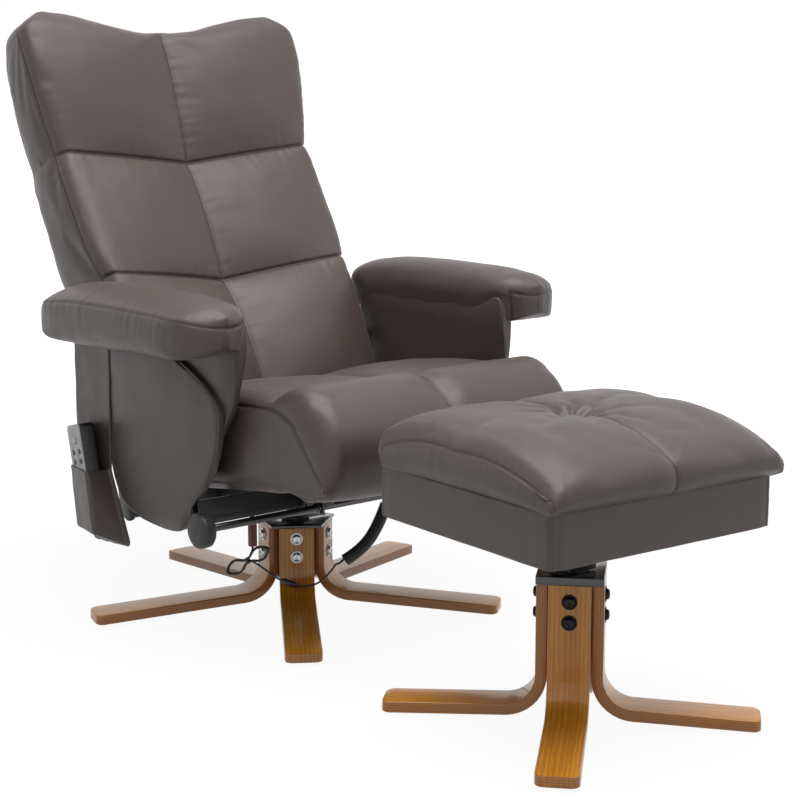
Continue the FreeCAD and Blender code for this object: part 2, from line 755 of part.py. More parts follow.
def cover_cut(row, cut, side):
    share, half, _, _, tip, _, padding = cut
    point, front = back_place(row, share)
    half = half - cover_slimmer
    far = cover_near + (cover_far - cover_near) * padding

    def at(x, n):
        return point + Vector(side * x, 0, 0) + front * n
    wire = outline(
        at(0, -cover_near),
        at(half, -cover_near),
        at(half, -far + cover_corner),
        (at(half - side_inset, -far + side_inset), at(half - cover_corner, -far)),
        at(0, -far),
    )
    wire.rotate(point, front, side * tip)
    return wire


def back_solid(cutter):
    pieces = []
    for side in (-1, 1):
        for row, cuts in enumerate(back_rows):
            pieces.append(Part.makeLoft([cutter(row, cut, side) for cut in cuts], True, False))
    return pieces[0].fuse(pieces[1:]).removeSplitter()


def link_notch():
    """Room in the foot of the back for the seat's link, through the whole recline."""
    drive = drive_point()
    points = []
    for degrees in notch_turns:
        angle = math.radians(degrees)
        points.append(drive + Vector(0, -math.sin(angle), -math.cos(angle)) * notch_length)
    side = notch_x[0]
    wide = outline(drive + Vector(side, notch_back, 0), points[0] + Vector(side, notch_back, 0),
                   points[1] + Vector(side, -notch_back, 0), drive + Vector(side, -notch_back, 0),
                   drive + Vector(side, 0, notch_back))
    return slab(wide, Vector(notch_x[1] - notch_x[0], 0, 0))


def back():
    cushion = back_solid(cushion_cut)
    cover = back_solid(cover_cut)
    foot = in_back(*tube_foot, tube_x, tube_depth)
    stub = in_back(*tube_stub, tube_x, tube_depth)
    line = [foot] + [in_back(*bend, tube_x, tube_depth) for bend in tube_bends]
    line.append(in_back(*tube_head, tube_x, tube_depth))

    def tubes(radius):
        pieces = [rod(radius, a, b) for a, b in zip(line, line[1:])]
        pieces += [Part.makeSphere(radius, point) for point in line]
        pieces.append(rod(radius, stub, Vector(lug_inner_x + lug_thickness, stub.y, stub.z)))
        pieces += [mirrored(piece) for piece in pieces]
        for place in tube_cross:
            end = in_back(*place, tube_x, tube_depth)
            pieces.append(rod(radius, Vector(-end.x, end.y, end.z), end))
        return pieces[0].fuse(pieces[1:])

    frame = tubes(tube_radius)
    cover = cover.cut(tubes(tube_radius + soft_gap))
    far = x_axis * (tube_x * 2)
    lug_end = Vector(0, stub.y, stub.z)
    lug = obround(lug_inner_x, lug_inner_x + lug_thickness, pivot, lug_end, lug_round)
    lug = lug.cut([rod(pivot_pin_radius + running_gap, pivot, pivot + far), rod(tube_radius, lug_end, lug_end + far)])
    add("back_lugs", *both(lug))

    drive = drive_point()
    hold = in_back(*tube_cross[0], 0, tube_depth)
    low = Vector(0, hold.y, hold.z)
    inner = obround(inner_lug_x, inner_lug_x + lug_thickness, low, drive, lug_round)
    inner = lowest(inner.cut([rod(rear_pin_radius, drive, drive + far), frame]))
    add("drive_lugs", *both(inner))
    pin = rod(rear_pin_radius, drive + x_axis * rear_pin_reach[0], drive + x_axis * rear_pin_reach[1])
    add("drive_pins", *both(pin))
    lug_room = obround(inner_lug_x - soft_gap, inner_lug_x + lug_thickness + soft_gap, low, drive,
                       lug_round + soft_gap)
    room = list(both(link_notch().fuse(lug_room)))
    cushion = cushion.cut(room)
    cover = cover.cut(room)

    motors = []
    for row, share in back_motor_at:
        point, front = back_place(row, share)
        base = point - front * cushion_depth
        for x in (-back_motor_x, back_motor_x):
            centre = base + Vector(x, 0, 0)
            case = Part.makeCylinder(motor_radius, motor_height, centre + front * soft_gap, front)
            motors.append(case.makeChamfer(motor_round, [case.Edges[0]]))
            cushion = cushion.cut(Part.makeCylinder(motor_radius + soft_gap, motor_height + soft_gap * 2 + overrun,
                                                    centre - front * overrun, front))
    add("back_motors", *motors)
    add("back_frame", frame)
    add("back_cushion", cushion)
    add("back_cover", cover)
    print("back pieces", len(cushion.Solids), len(cover.Solids), cushion.isValid(), cover.isValid())


# Arms: pads on two upholstered panels each, held by steel brackets


def arms():
    wires = []
    for y, inner, outer, rise, drop in arm_cuts:
        wires.append(placed(arm_points, lambda x, z, i, o, r, d: Vector(
            x + i * inner - o * outer, y, z + r * rise - d * drop)))
    pad = turned(Part.makeLoft(wires, True, False), -arm_tilt, x_axis, arm_tilt_at)
    add("arm_pads", *both(pad))
    add("inner_arm_panels", *both(lowest(plate(inner_panel_points, *inner_panel_x).cut(pad))))
    add("outer_arm_panels", *both(lowest(plate(shield_points, *shield_x).cut(pad))))

    half = bracket_bar
    bar = tilted(block(bracket_x[0], bracket_x[1], rail_front, rail_back + beam_depth, -half, half))
    heel = tilted_point(0, rail_back + beam_depth / 2, 0)
    upright = obround(*bracket_x, heel, pivot, bracket_round)
    bracket = bar.fuse(upright).cut(rod(pivot_pin_radius, pivot, pivot + x_axis * (tube_x * 2)))
    add("arm_brackets", *both(bracket))
    inner_end = lug_inner_x - pivot_head
    pin = rod(pivot_pin_radius, pivot + x_axis * inner_end, pivot + x_axis * bracket_x[1])
    head = rod(pivot_head_radius, pivot + x_axis * inner_end, pivot + x_axis * (lug_inner_x - running_gap))
    spacer = rod(pivot_head_radius, pivot + x_axis * (lug_inner_x + lug_thickness + running_gap),
                 pivot + x_axis * bracket_x[0])
    add("recline_pins", *both(pin.fuse([head, spacer])))
    return mirrored(pad)


def lowest(shape):
    return min(shape.Solids, key=lambda solid: solid.CenterOfMass.z)


# Remote control in its pocket, on the sitter's right


def remote_place(shape):
    shape = turned(turned(shape, remote_turn), remote_lean, x_axis)
    return moved(shape, remote_at.x, remote_at.y, remote_at.z)


def pocket(pad):
    strip = lowest(plate(strip_points, *strip_x).cut(pad))
    across = Vector(math.cos(math.radians(remote_turn)), math.sin(math.radians(remote_turn)), 0)
    reach = remote_depth / 2 + pouch_wall + pouch_gap

    def on_face(y, z):
        return Vector(remote_at.x - (reach + (y - remote_at.y) * across.y) / across.x, y, z)
    inner = outline(*[Vector(strip_x[0], y, z) for y, z in pouch_base])
    outer = outline(*[on_face(y, z) for y, z in pouch_face])
    pouch = Part.makeLoft([inner, outer], True, True)
    top = pouch_base[0][1]
    hollow_of = pouch
    rim = [e for e in pouch.Edges if e.CenterOfMass.x < strip_x[0] - running_gap
           and min(v.Point.z for v in e.Vertexes) < top - running_gap]
    pouch = pouch.makeFillet(pouch_round, rim)
    mouth = Vector(strip_x[0], (pouch_base[0][0] + pouch_base[3][0]) / 2, top)
    width = pouch_base[3][0] - pouch_base[0][0]
    hollow = hollow_of.scaled((width - pouch_wall * 2) / width, mouth)
    mouth_face = max(hollow.Faces, key=lambda face: face.CenterOfMass.z)
    hollow = hollow.fuse(mouth_face.extrude(z_axis * overrun))
    pouch = pouch.cut(hollow)
    add("remote_pocket", pouch.fuse(strip))


def remote():
    half_w = remote_width / 2
    half_l = remote_length / 2
    face_x = -remote_depth / 2
    body = block(face_x + faceplate, remote_depth / 2, -half_w, half_w, -half_l, half_l)
    body = rounded(body, remote_corner, x_axis)
    back_rim = [e for e in body.Edges if abs(e.CenterOfMass.x - remote_depth / 2) < running_gap]
    body = body.makeFillet(remote_edge, back_rim)
    face = rounded(block(face_x, face_x + faceplate, -half_w, half_w, -half_l, half_l), remote_corner, x_axis)
    room = button_flange + button_travel + running_gap
    play = running_gap * 2
    keys = []
    for y, z, radius in button_places:
        front = Vector(face_x - button_proud, y, z)
        seat = Vector(face_x + faceplate, y, z)
        keys.append(rod(radius, front, seat).fuse(rod(radius + button_lip, seat, seat + x_axis * button_flange)))
        face = face.cut(rod(radius + play, front, seat + x_axis * overrun))
        body = body.cut(rod(radius + button_lip + play, seat - x_axis * overrun, seat + x_axis * room))
    add("remote_body", remote_place(body))
    add("remote_face", remote_place(face))
    add("power_button", remote_place(keys[0]))
    for k, key in enumerate(keys[1:]):
        add(f"key_{k + 1}", remote_place(key))


# Cords, as tubes along smooth chains of arcs


def arc_from(start, heading, end):
    """The arc that leaves a point in a direction and ends at another point."""
    chord = end - start
    side = heading - chord * (heading.dot(chord) / chord.dot(chord))
    if side.Length < math.radians(half_share):
        return Part.LineSegment(start, end).toShape()
    angle = heading.getAngle(chord)
    middle = (start + end) * half_share + side.normalize() * (chord.Length / 2 * math.tan(angle / 2))
    return Part.Arc(start, middle, end).toShape()


def joined(p0, t0, p1, t1):
    """Two arcs that join two points with given headings."""
    v = p1 - p0
    t = t0 + t1
    spread = 2 * (1 - t0.dot(t1))
    if spread < math.radians(half_share) ** 2:
        if v.getAngle(t0) < math.radians(half_share):
            return [Part.LineSegment(p0, p1).toShape()]
        reach = v.dot(v) / (4 * v.dot(t1))
    else:
        reach = (-v.dot(t) + math.sqrt(v.dot(t) ** 2 + spread * v.dot(v))) / spread
    middle = (p0 + p1 + (t0 - t1) * reach) * half_share
    return [arc_from(p0, t0, middle), arc_from(p1, t1 * -1, middle)]


def chain(stops):
    edges = []
    for (p0, t0), (p1, t1) in zip(stops, stops[1:]):
        edges += joined(p0, t0, p1, t1)
    return Part.Wire(edges)


def cord(name, stops, radius, sides=0):
    """A tube along a chain of stops, round or many-sided; prints its length against its volume."""
    spine = chain(stops)
    start, heading = stops[0]
    if sides:
        across = heading.cross(z_axis).normalize() if abs(heading.z) < half_share else heading.cross(x_axis).normalize()
        up = heading.cross(across).normalize()
        corner = radius / math.cos(math.pi / sides)
        points = [start + across * (corner * math.cos(2 * math.pi * k / sides))
                  + up * (corner * math.sin(2 * math.pi * k / sides)) for k in range(sides)]
        profile = outline(*points)
    else:
        profile = Part.Wire(Part.Circle(start, heading, radius).toShape())
    solid = spine.makePipeShell([profile], True, False)
    area = Part.Face(profile).Area
    print(name, "valid", solid.isValid(), "volume", round(solid.Volume), "section x length", round(area * spine.Length))
    add(name, solid)
    return spine


def unit(v):
    return Vector(*v).normalize()


def hank_stops():
    """The bow: each turn lies in its own plane and climbs along its upper left run."""
    along = unit(hank_along)
    away = unit(hank_away - along * hank_away.dot(along))
    up = along.cross(away)

    def at(x, y, layer):
        return hank_centre + along * x + up * y + away * ((layer - hank_turns / 2) * hank_step)
    left = along * -1
    stops = [(at(hank_waist_run, hank_waist, -1), left), (at(-hank_waist_run, hank_waist, -1), left)]
    for k in range(hank_turns):
        stops += [(at(-hank_lobe_at, hank_lobe, k), left), (at(-hank_tip, 0, k), up * -1),
                  (at(-hank_lobe_at, -hank_lobe, k), along), (at(-hank_waist_run, -hank_waist, k), along),
                  (at(hank_waist_run, -hank_waist, k), along)]
        if k < hank_turns - 1:
            stops += [(at(hank_lobe_at, -hank_lobe, k), along), (at(hank_tip, 0, k), up),
                      (at(hank_lobe_at, hank_lobe, k), left), (at(hank_waist_run, hank_waist, k), left),
                      (at(-hank_waist_run, hank_waist, k), left)]
    return stops, along, up, away


def cords():
    frame = nodes["underframe"]
    width, depth, height = plug_size
    body = block(plug_at.x - width / 2, plug_at.x + width / 2, plug_at.y - depth / 2, plug_at.y + depth / 2,
                 plug_at.z, plug_at.z + height)
    body = rounded(body, plug_round, z_axis)
    neck = rod(plug_neck_radius, plug_at + z_axis * (height / 2), Vector(plug_at.x, plug_at.y, plug_neck_top))
    add("power_plug", lowest(body.fuse(neck).cut(frame)))

    stops, along, up, away = hank_stops()
    down = z_axis * -1
    run = lead_radius * 3
    into = unit(inline_end - inline_start)
    stops = [(plug_at, down), (plug_at + down * run, down)] + stops
    stops += [(inline_start - into * run, into), (inline_start, into)]
    gaps(cord("lead_hank", stops, lead_radius, lead_sides), lead_radius)

    corner = lead_radius / math.cos(math.pi / lead_sides)
    half_y = hank_waist + corner + running_gap
    low = hank_centre - away * ((hank_turns / 2 + 1) * hank_step + corner + running_gap)
    high = hank_centre + away * ((hank_turns / 2 - 1) * hank_step + corner + running_gap)

    def ring(wall):
        a = low - away * wall
        b = high + away * wall
        side = up * (half_y + wall)
        wire = outline(a - side, b - side, b + side, a + side)
        wire.translate(along * (-tie_width / 2))
        return slab(wire, along * tie_width)
    add("cord_tie", ring(tie_wall).cut(ring(0)))

    body = rod(inline_radius, inline_start + into * inline_taper, inline_end - into * inline_taper)
    for end, heading in ((inline_start, into), (inline_end, into * -1)):
        body = body.fuse(Part.makeCone(inline_neck, inline_radius, inline_taper, end, heading))
    add("inline_plug", body)

    stops = [(inline_end, into), (inline_end + into * run, into)]
    stops += [(Vector(*p), unit(t)) for p, t in end_lead]
    stops.append((curl_start, unit(end_lead[-1][1])))
    gaps(cord("lead_end", stops, lead_radius, lead_sides), lead_radius)

    axis = curl_points()
    count = curl_count * curl_steps
    first = curl_lead + curl_run_in
    total = axis[-1][0]
    pitch = (total - first * 2) / curl_count
    p0, t0 = along_axis(axis, 0)
    p9, t9 = along_axis(axis, total)
    stops = [(p0, t0), (p0 + t0 * curl_lead, t0)]
    across = unit(z_axis.cross(t0))
    for k in range(count + 1):
        point, heading = along_axis(axis, first + pitch * k / curl_steps)
        across = unit(across - heading * across.dot(heading))
        second = heading.cross(across)
        angle = 2 * math.pi * k / curl_steps
        radial = across * math.cos(angle) + second * math.sin(angle)
        around = second * math.cos(angle) - across * math.sin(angle)
        rise = heading * (pitch / (2 * math.pi * curl_radius))
        stops.append((point + radial * curl_radius, unit(around + rise)))
    stops += [(p9 - t9 * curl_lead, t9), (p9, t9)]
    gaps(cord("curly_cord", stops, curl_wire_radius, curl_sides), curl_wire_radius)
    print("curl pitch", round(pitch, 2), "axis length", round(total, 1))
    gland = rod(gland_radius, p9, p9 + t9 * gland_length).cut(nodes["control_box"].fuse(frame))
    add("cord_gland", lowest(gland))


def curl_points():
    """The curly cord's axis as many points: distance along, point, heading."""
    stops = [(Vector(*p), unit(t)) for p, t in curl_axis]
    rows = []
    travelled = 0
    for (p0, t0), (p1, t1) in zip(stops, stops[1:]):
        for edge, start in zip(joined(p0, t0, p1, t1), (p0, None)):
            line = edge.discretize(40)
            anchor = start or rows[-1][1]
            if (line[0] - anchor).Length > (line[-1] - anchor).Length:
                line.reverse()
            if not rows:
                rows.append((0, line[0], t0))
            for a, b in zip(line, line[1:]):
                travelled += (b - a).Length
                rows.append((travelled, b, unit(b - a)))
    rows[-1] = (travelled, rows[-1][1], stops[-1][1])
    return rows


def along_axis(rows, distance):
    for (s0, p0, t0), (s1, p1, t1) in zip(rows, rows[1:]):
        if distance <= s1:
            share = (distance - s0) / (s1 - s0)
            return p0 + (p1 - p0) * share, unit(t0 + (t1 - t0) * share)
    return rows[-1][1], rows[-1][2]


def gaps(spine, radius):
    """Prints the smallest bend and the least gap of a cord to itself, measured on points of its middle line."""
    points = []
    bends = []
    for edge in spine.OrderedEdges:
        piece = edge.discretize(max(3, int(edge.Length / radius)))
        if points and (piece[0] - points[-1]).Length > (piece[-1] - points[-1]).Length:
            piece.reverse()
        points += piece if not points else piece[1:]
        if hasattr(edge.Curve, "Radius"):
            bends.append(edge.Curve.Radius)
    travelled = [0]
    for a, b in zip(points, points[1:]):
        travelled.append(travelled[-1] + (b - a).Length)
    near = []
    for i, a in enumerate(points):
        for j in range(i + 1, len(points)):
            if travelled[j] - travelled[i] > radius * 2 * math.pi:
                near.append((a.distanceToPoint(points[j]) - radius * 2, i, j))
    gap, i, j = min(near)
    print("  least bend", round(min(bends), 1), "least gap", round(gap, 2), "at",
          [round(c) for c in points[i]], [round(c) for c in points[j]])


# Footstool: swivel bracket, storage box and hinged lid


def footstool_top():
    low = stool_board_top + stool_cap_thickness + bush_collar
    top = box_bottom
    wall = stool_plate_thickness
    half = stool_channel_half
    side = stool_plate_side / 2
    bracket = rounded(block(-side, side, -side, side, top - wall, top), box_corner, z_axis)
    pieces = [block(-half, half, -half, half, low, low + wall)]
    pieces.append(block(-half, half, -half, -half + wall, low, top - wall))
    pieces.append(block(-half, half, half - wall, half, low, top - wall))
    bore = stool_post_radius + running_gap
    pieces.append(rod(bore + sleeve_wall, Vector(0, 0, low), Vector(0, 0, top - wall)))
    bracket = bracket.fuse(pieces).cut(rod(bore, Vector(0, 0, low - overrun), Vector(0, 0, top - wall)))
    add("stool_swivel_bracket", at_stool(bracket))

    x = box_width / 2
    y = box_depth / 2
    walls = rounded(block(-x, x, -y, y, box_bottom, box_top), box_corner, z_axis)
    walls = walls.cut(block(-x + box_wall, x - box_wall, -y + box_wall, y - box_wall, box_bottom - overrun,
                            box_top + overrun))
    floor = block(-x + box_wall, x - box_wall, -y + box_wall, y - box_wall, box_bottom, box_bottom + floor_thickness)
    add("stool_box", at_stool(walls))
    add("stool_floor", at_stool(floor))

    lid_low = box_top + lid_gap
    wires = []
    for share, drop, pull in lid_cuts:
        place = share * (x + lid_overhang)
        wires.append(placed(lid_points, lambda s, a, b, p, d: Vector(
            place, s * y + a + p * pull, lid_low + b - d * drop)))
    loft = Part.makeLoft(wires, True, False)
    cushion = loft.fuse(mirrored(loft))
    bx = x - lid_board_inset
    by = y - lid_board_inset
    board = block(-bx, bx, -by, by, lid_low, lid_low + lid_board_thickness)
    cushion = cushion.cut(block(-bx, bx, -by, by, lid_low - overrun, lid_low + lid_board_thickness))
    crest = lid_low + lid_points[3][1][2]
    bottom = crest - tuft_depth
    dent = outline(Vector(0, 0, bottom), Vector(tuft_floor, 0, bottom),
                   (Vector(tuft_middle[0], 0, bottom + tuft_middle[1]), Vector(tuft_radius, 0, crest)),
                   Vector(tuft_radius, 0, crest + overrun), Vector(0, 0, crest + overrun))
    cushion = cushion.cut(Part.Face(dent).revolve(origin, z_axis, 360))
    button = outline(Vector(0, 0, bottom), Vector(tuft_button_radius, 0, bottom),
                     Vector(tuft_button_shoulder[0], 0, bottom + tuft_button_shoulder[1]),
                     Vector(tuft_button_flat, 0, bottom + tuft_button_height),
                     Vector(0, 0, bottom + tuft_button_height))
    add("lid_button", at_stool(Part.Face(button).revolve(origin, z_axis, 360)))

    box_leaves = []
    lid_leaves = []
    hinge_y = y + hinge_out
    wing_y = hinge_y + knuckle_radius
    for centre in hinge_x:
        ends = [centre + knuckle_length * (k - 1.5) for k in range(4)]
        for k in range(3):
            a = Vector(ends[k] + knuckle_gap / 2, hinge_y, hinge_z)
            b = Vector(ends[k + 1] - knuckle_gap / 2, hinge_y, hinge_z)
            piece = rod(knuckle_radius, a, b)
            if k == 1:
                wing = block(a.x, b.x, wing_y - leaf_thickness, wing_y, hinge_z, lid_low + leaf_thickness)
                piece = piece.fuse([wing, block(a.x, b.x, y - lid_board_inset - leaf_reach, wing_y,
                                                lid_low, lid_low + leaf_thickness)])
                lid_leaves.append(piece.cut(rod(hinge_pin_radius + running_gap, a - x_axis * overrun,
                                                b + x_axis * overrun)))
            else:
                box_leaves.append(piece.fuse(block(a.x, b.x, y, y + leaf_thickness, hinge_z - leaf_height, hinge_z)))
        box_leaves.append(rod(hinge_pin_radius, Vector(ends[0] + knuckle_gap / 2, hinge_y, hinge_z),
                              Vector(ends[3] - knuckle_gap / 2, hinge_y, hinge_z)))
    add("box_hinge_leaves", at_stool(box_leaves[0].fuse(box_leaves[1:])))
    add("lid_hinge_leaves", *[at_stool(leaf) for leaf in lid_leaves])
    leaves = lid_leaves[0].fuse(lid_leaves[1:])
    add("lid_board", at_stool(board.cut(leaves)))
    add("lid_cushion", at_stool(cushion.cut(leaves)))


# Build everything


chair_base()
footstool_base()
underframe()
clamp()
seat()
back()
right_pad = arms()
pocket(right_pad)
remote()
cords()
footstool_top()

os.makedirs("parts", exist_ok=True)
extents = [s.optimalBoundingBox(False, False) for name, s in nodes.items() if name not in cord_nodes]
low_x, high_x = min(e.XMin for e in extents), max(e.XMax for e in extents)
low_y, high_y = min(e.YMin for e in extents), max(e.YMax for e in extents)
shift = Vector(-(low_x + high_x) / 2, -(low_y + high_y) / 2, 0)
print("size", round(high_x - low_x, 1), round(high_y - low_y, 1), round(max(e.ZMax for e in extents), 1),
      "lowest", round(min(e.ZMin for e in extents), 3))


def tell(name, point):
    print(name, [round(c / 1000, 6) for c in point + shift])


tell("shift", origin)
tell("pivot", pivot)
tell("drive", drive_point())
tell("shaft", tilted_point(knob_inner_x, shaft_y, shaft_z))
tell("remote", remote_at)
for y, z, radius in button_places:
    tell("button", remote_place(Part.Vertex(-remote_depth / 2, y, z)).Point)
print("press", [round(c, 5) for c in remote_place(Part.Vertex(1, 0, 0)).Point - remote_at])
tell("stool", Vector(stool_x, stool_y, 0))
tell("hinge", at_stool(Part.Vertex(0, box_depth / 2 + hinge_out, hinge_z)).Point)
for name, shape in nodes.items():
    moved(shape, *shift).exportStep(f"parts/{name}.step")
    if not shape.isValid():
        print("not valid:", name)
print(len(nodes), "nodes")
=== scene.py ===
import bpy
import bmesh
import json
import math
import numpy as np
from mathutils import Matrix, Vector, noise
from mathutils.bvhtree import BVHTree
from mathutils.kdtree import KDTree


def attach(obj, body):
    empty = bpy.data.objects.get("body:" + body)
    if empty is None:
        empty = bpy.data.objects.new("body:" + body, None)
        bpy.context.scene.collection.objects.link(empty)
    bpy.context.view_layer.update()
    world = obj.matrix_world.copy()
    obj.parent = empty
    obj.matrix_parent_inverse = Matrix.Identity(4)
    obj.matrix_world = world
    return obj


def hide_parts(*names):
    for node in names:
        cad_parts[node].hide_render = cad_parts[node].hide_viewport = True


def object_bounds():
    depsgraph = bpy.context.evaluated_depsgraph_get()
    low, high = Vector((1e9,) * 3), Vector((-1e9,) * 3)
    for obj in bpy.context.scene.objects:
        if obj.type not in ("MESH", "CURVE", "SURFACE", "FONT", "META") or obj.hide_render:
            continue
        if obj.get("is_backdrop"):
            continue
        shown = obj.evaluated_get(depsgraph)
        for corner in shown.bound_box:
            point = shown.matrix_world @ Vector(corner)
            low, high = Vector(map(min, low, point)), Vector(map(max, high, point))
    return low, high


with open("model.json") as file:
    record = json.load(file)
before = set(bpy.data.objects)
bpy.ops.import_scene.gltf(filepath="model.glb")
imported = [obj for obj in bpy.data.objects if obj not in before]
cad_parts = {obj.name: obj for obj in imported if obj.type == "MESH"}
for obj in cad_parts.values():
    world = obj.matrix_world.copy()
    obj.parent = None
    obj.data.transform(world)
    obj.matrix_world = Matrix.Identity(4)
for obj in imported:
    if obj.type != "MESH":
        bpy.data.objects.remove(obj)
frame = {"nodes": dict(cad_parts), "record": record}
cad_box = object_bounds()

# The room: a pale floor that fades into white, one wide soft lamp overhead, a weak one on each side, and an
# even sky. The camera stands ahead and to the sitter's right, a little under the top of the back.


def ink(code):
    """A colour written as on paper, for a shader's socket."""
    parts = [c / 255 for c in bytes.fromhex(code)]
    return tuple(((p + 0.055) / 1.055) ** 2.4 if p > 0.04 else p / 12.92 for p in parts) + (1,)


def give(made, inputs):
    """Sets a node's inputs. Each is a number, a colour or another node's output."""
    for name, value in dict(inputs).items():
        if isinstance(value, bpy.types.NodeSocket):
            made.id_data.links.new(value, made.inputs[name])
        else:
            made.inputs[name].default_value = value
    return made


def node(tree, kind, inputs=(), **settings):
    """Adds a node with its settings and inputs."""
    made = tree.nodes.new(kind if "Node" in kind else "ShaderNode" + kind)
    for name, value in settings.items():
        setattr(made, name, value)
    return give(made, inputs)


def maths(tree, operation, *values):
    return node(tree, "Math", enumerate(values), operation=operation).outputs[0]


def spread(tree, value, low=0.0, high=1.0, first=0.0, last=1.0):
    """The range from first to last, moved onto the range from low to high."""
    return node(tree, "MapRange", {"Value": value, "From Min": first, "From Max": last, "To Min": low,
                                   "To Max": high}).outputs[0]


def blank(name, **constants):
    """A new material with its tree and shader. A constant's name has underscores for its socket's spaces."""
    material = bpy.data.materials.new(name)
    material.use_nodes = True
    shader = material.node_tree.nodes["Principled BSDF"]
    give(shader, {key.replace("_", " "): value for key, value in constants.items()})
    return material, material.node_tree, shader


def shown_to_eye(tree):
    """One where the camera or a reflection looks, and zero where light only bounces."""
    path = node(tree, "LightPath").outputs
    return maths(tree, "MAXIMUM", path["Is Camera Ray"], path["Is Glossy Ray"])


floor_radius, floor_drop, floor_white, near_share = 40, -0.0005, 1.3, 0.72
floor_mesh = bpy.data.meshes.new("floor")
rim = [(floor_radius * math.cos(a), floor_radius * math.sin(a), floor_drop)
       for a in np.linspace(0, 2 * math.pi, 48, endpoint=False)]
floor_mesh.from_pydata(rim, [], [list(range(48))])
floor = bpy.data.objects.new("floor", floor_mesh)
bpy.context.scene.collection.objects.link(floor)
pale, nt, shader = blank("pale floor", Base_Color=ink("8f8d8a"), Roughness=0.9)
at = node(nt, "TexCoord").outputs["Object"]
away = node(nt, "VectorMath", {0: at}, operation="LENGTH").outputs["Value"]
share = maths(nt, "MULTIPLY", shown_to_eye(nt), spread(nt, away, near_share, first=0.9, last=2.6))
white = node(nt, "Emission", {"Color": (1, 1, 1, 1), "Strength": floor_white}).outputs[0]
mixed = node(nt, "MixShader", {0: share, 1: shader.outputs[0], 2: white}).outputs[0]
give(nt.nodes["Material Output"], {0: mixed})
floor_mesh.materials.append(pale)
floor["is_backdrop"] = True

world = bpy.data.worlds.new("sky")
bpy.context.scene.world = world
world.use_nodes = True
nt = world.node_tree
give(nt.nodes["Background"], {"Color": (1, 1, 1, 1), "Strength": spread(nt, shown_to_eye(nt), 0.22)})
lamps = (((-0.2, -0.5, 3.2), 2.6, 98, (1, 0.99, 0.97)), ((-2.6, -1.6, 2.2), 1.6, 4, (1, 0.98, 0.95)),
         ((2.6, -1.8, 2.2), 1.8, 9, (0.95, 0.97, 1)))
for place, size, power, tint in lamps:
    lamp = bpy.data.lights.new("lamp", "AREA")
    lamp.size, lamp.energy, lamp.color = size, power, tint
    holder = bpy.data.objects.new("lamp", lamp)
    holder.location = place
    holder.rotation_euler = (Vector((0, 0, 0.4)) - Vector(place)).to_track_quat("-Z", "Y").to_euler()
    bpy.context.scene.collection.objects.link(holder)

camera = bpy.data.objects.new("camera", bpy.data.cameras.new("camera"))
camera.location = (-1.79247, -2.17283, 0.90192)
camera.rotation_euler = (math.radians(79.68), 0, math.radians(-40.156))
camera.data.lens, camera.data.sensor_width = 79.48, 36
bpy.context.scene.collection.objects.link(camera)
bpy.context.scene.camera = camera
bpy.context.scene.view_settings.view_transform = "Standard"

# Legs of the chair base: five boards of glued oak plies, bent once from the foot up to the hub, with rounded
# edges and a clear lacquer. The same board, shorter in the foot and taller, makes the footstool's four legs.

rides_on = {n: body for body, members in frame["record"]["behaviour"]["bodies"].items() for n in members}
middle = 0.234851   # the chair's own axis lies this far back in the shared frame


def piece(name, mesh, body, finish, *stands_for):
    """Puts a finished mesh into the scene on a body, in place of the solids that it stands for."""
    made = bpy.data.objects.new(name, mesh)
    bpy.context.scene.collection.objects.link(made)
    mesh.materials.clear()
    mesh.materials.append(finish)
    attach(made, body)
    if stands_for:
        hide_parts(*stands_for)
    return made


def smooth(mesh, degrees=38):
    mesh.shade_smooth()
    mesh.set_sharp_from_angle(angle=math.radians(degrees))
    return mesh


def blend(tree, share, first, second):
    return node(tree, "Mix", {0: share, 6: first, 7: second}, data_type="RGBA").outputs[2]


def noisy(tree, at, scale, detail, rough=0.5, twist=0.0):
    return node(tree, "TexNoise", {"Vector": at, "Scale": scale, "Detail": detail, "Roughness": rough,
                                   "Distortion": twist}).outputs[0]


def bumped(tree, *layers):
    """A normal raised by layers. Each has a height, a strength and a distance."""
    under = {}
    for height, strength, distance in layers:
        bump = node(tree, "Bump", {"Height": height, "Strength": strength, "Distance": distance, **under})
        under = {"Normal": bump.outputs[0]}
    return bump.outputs[0]


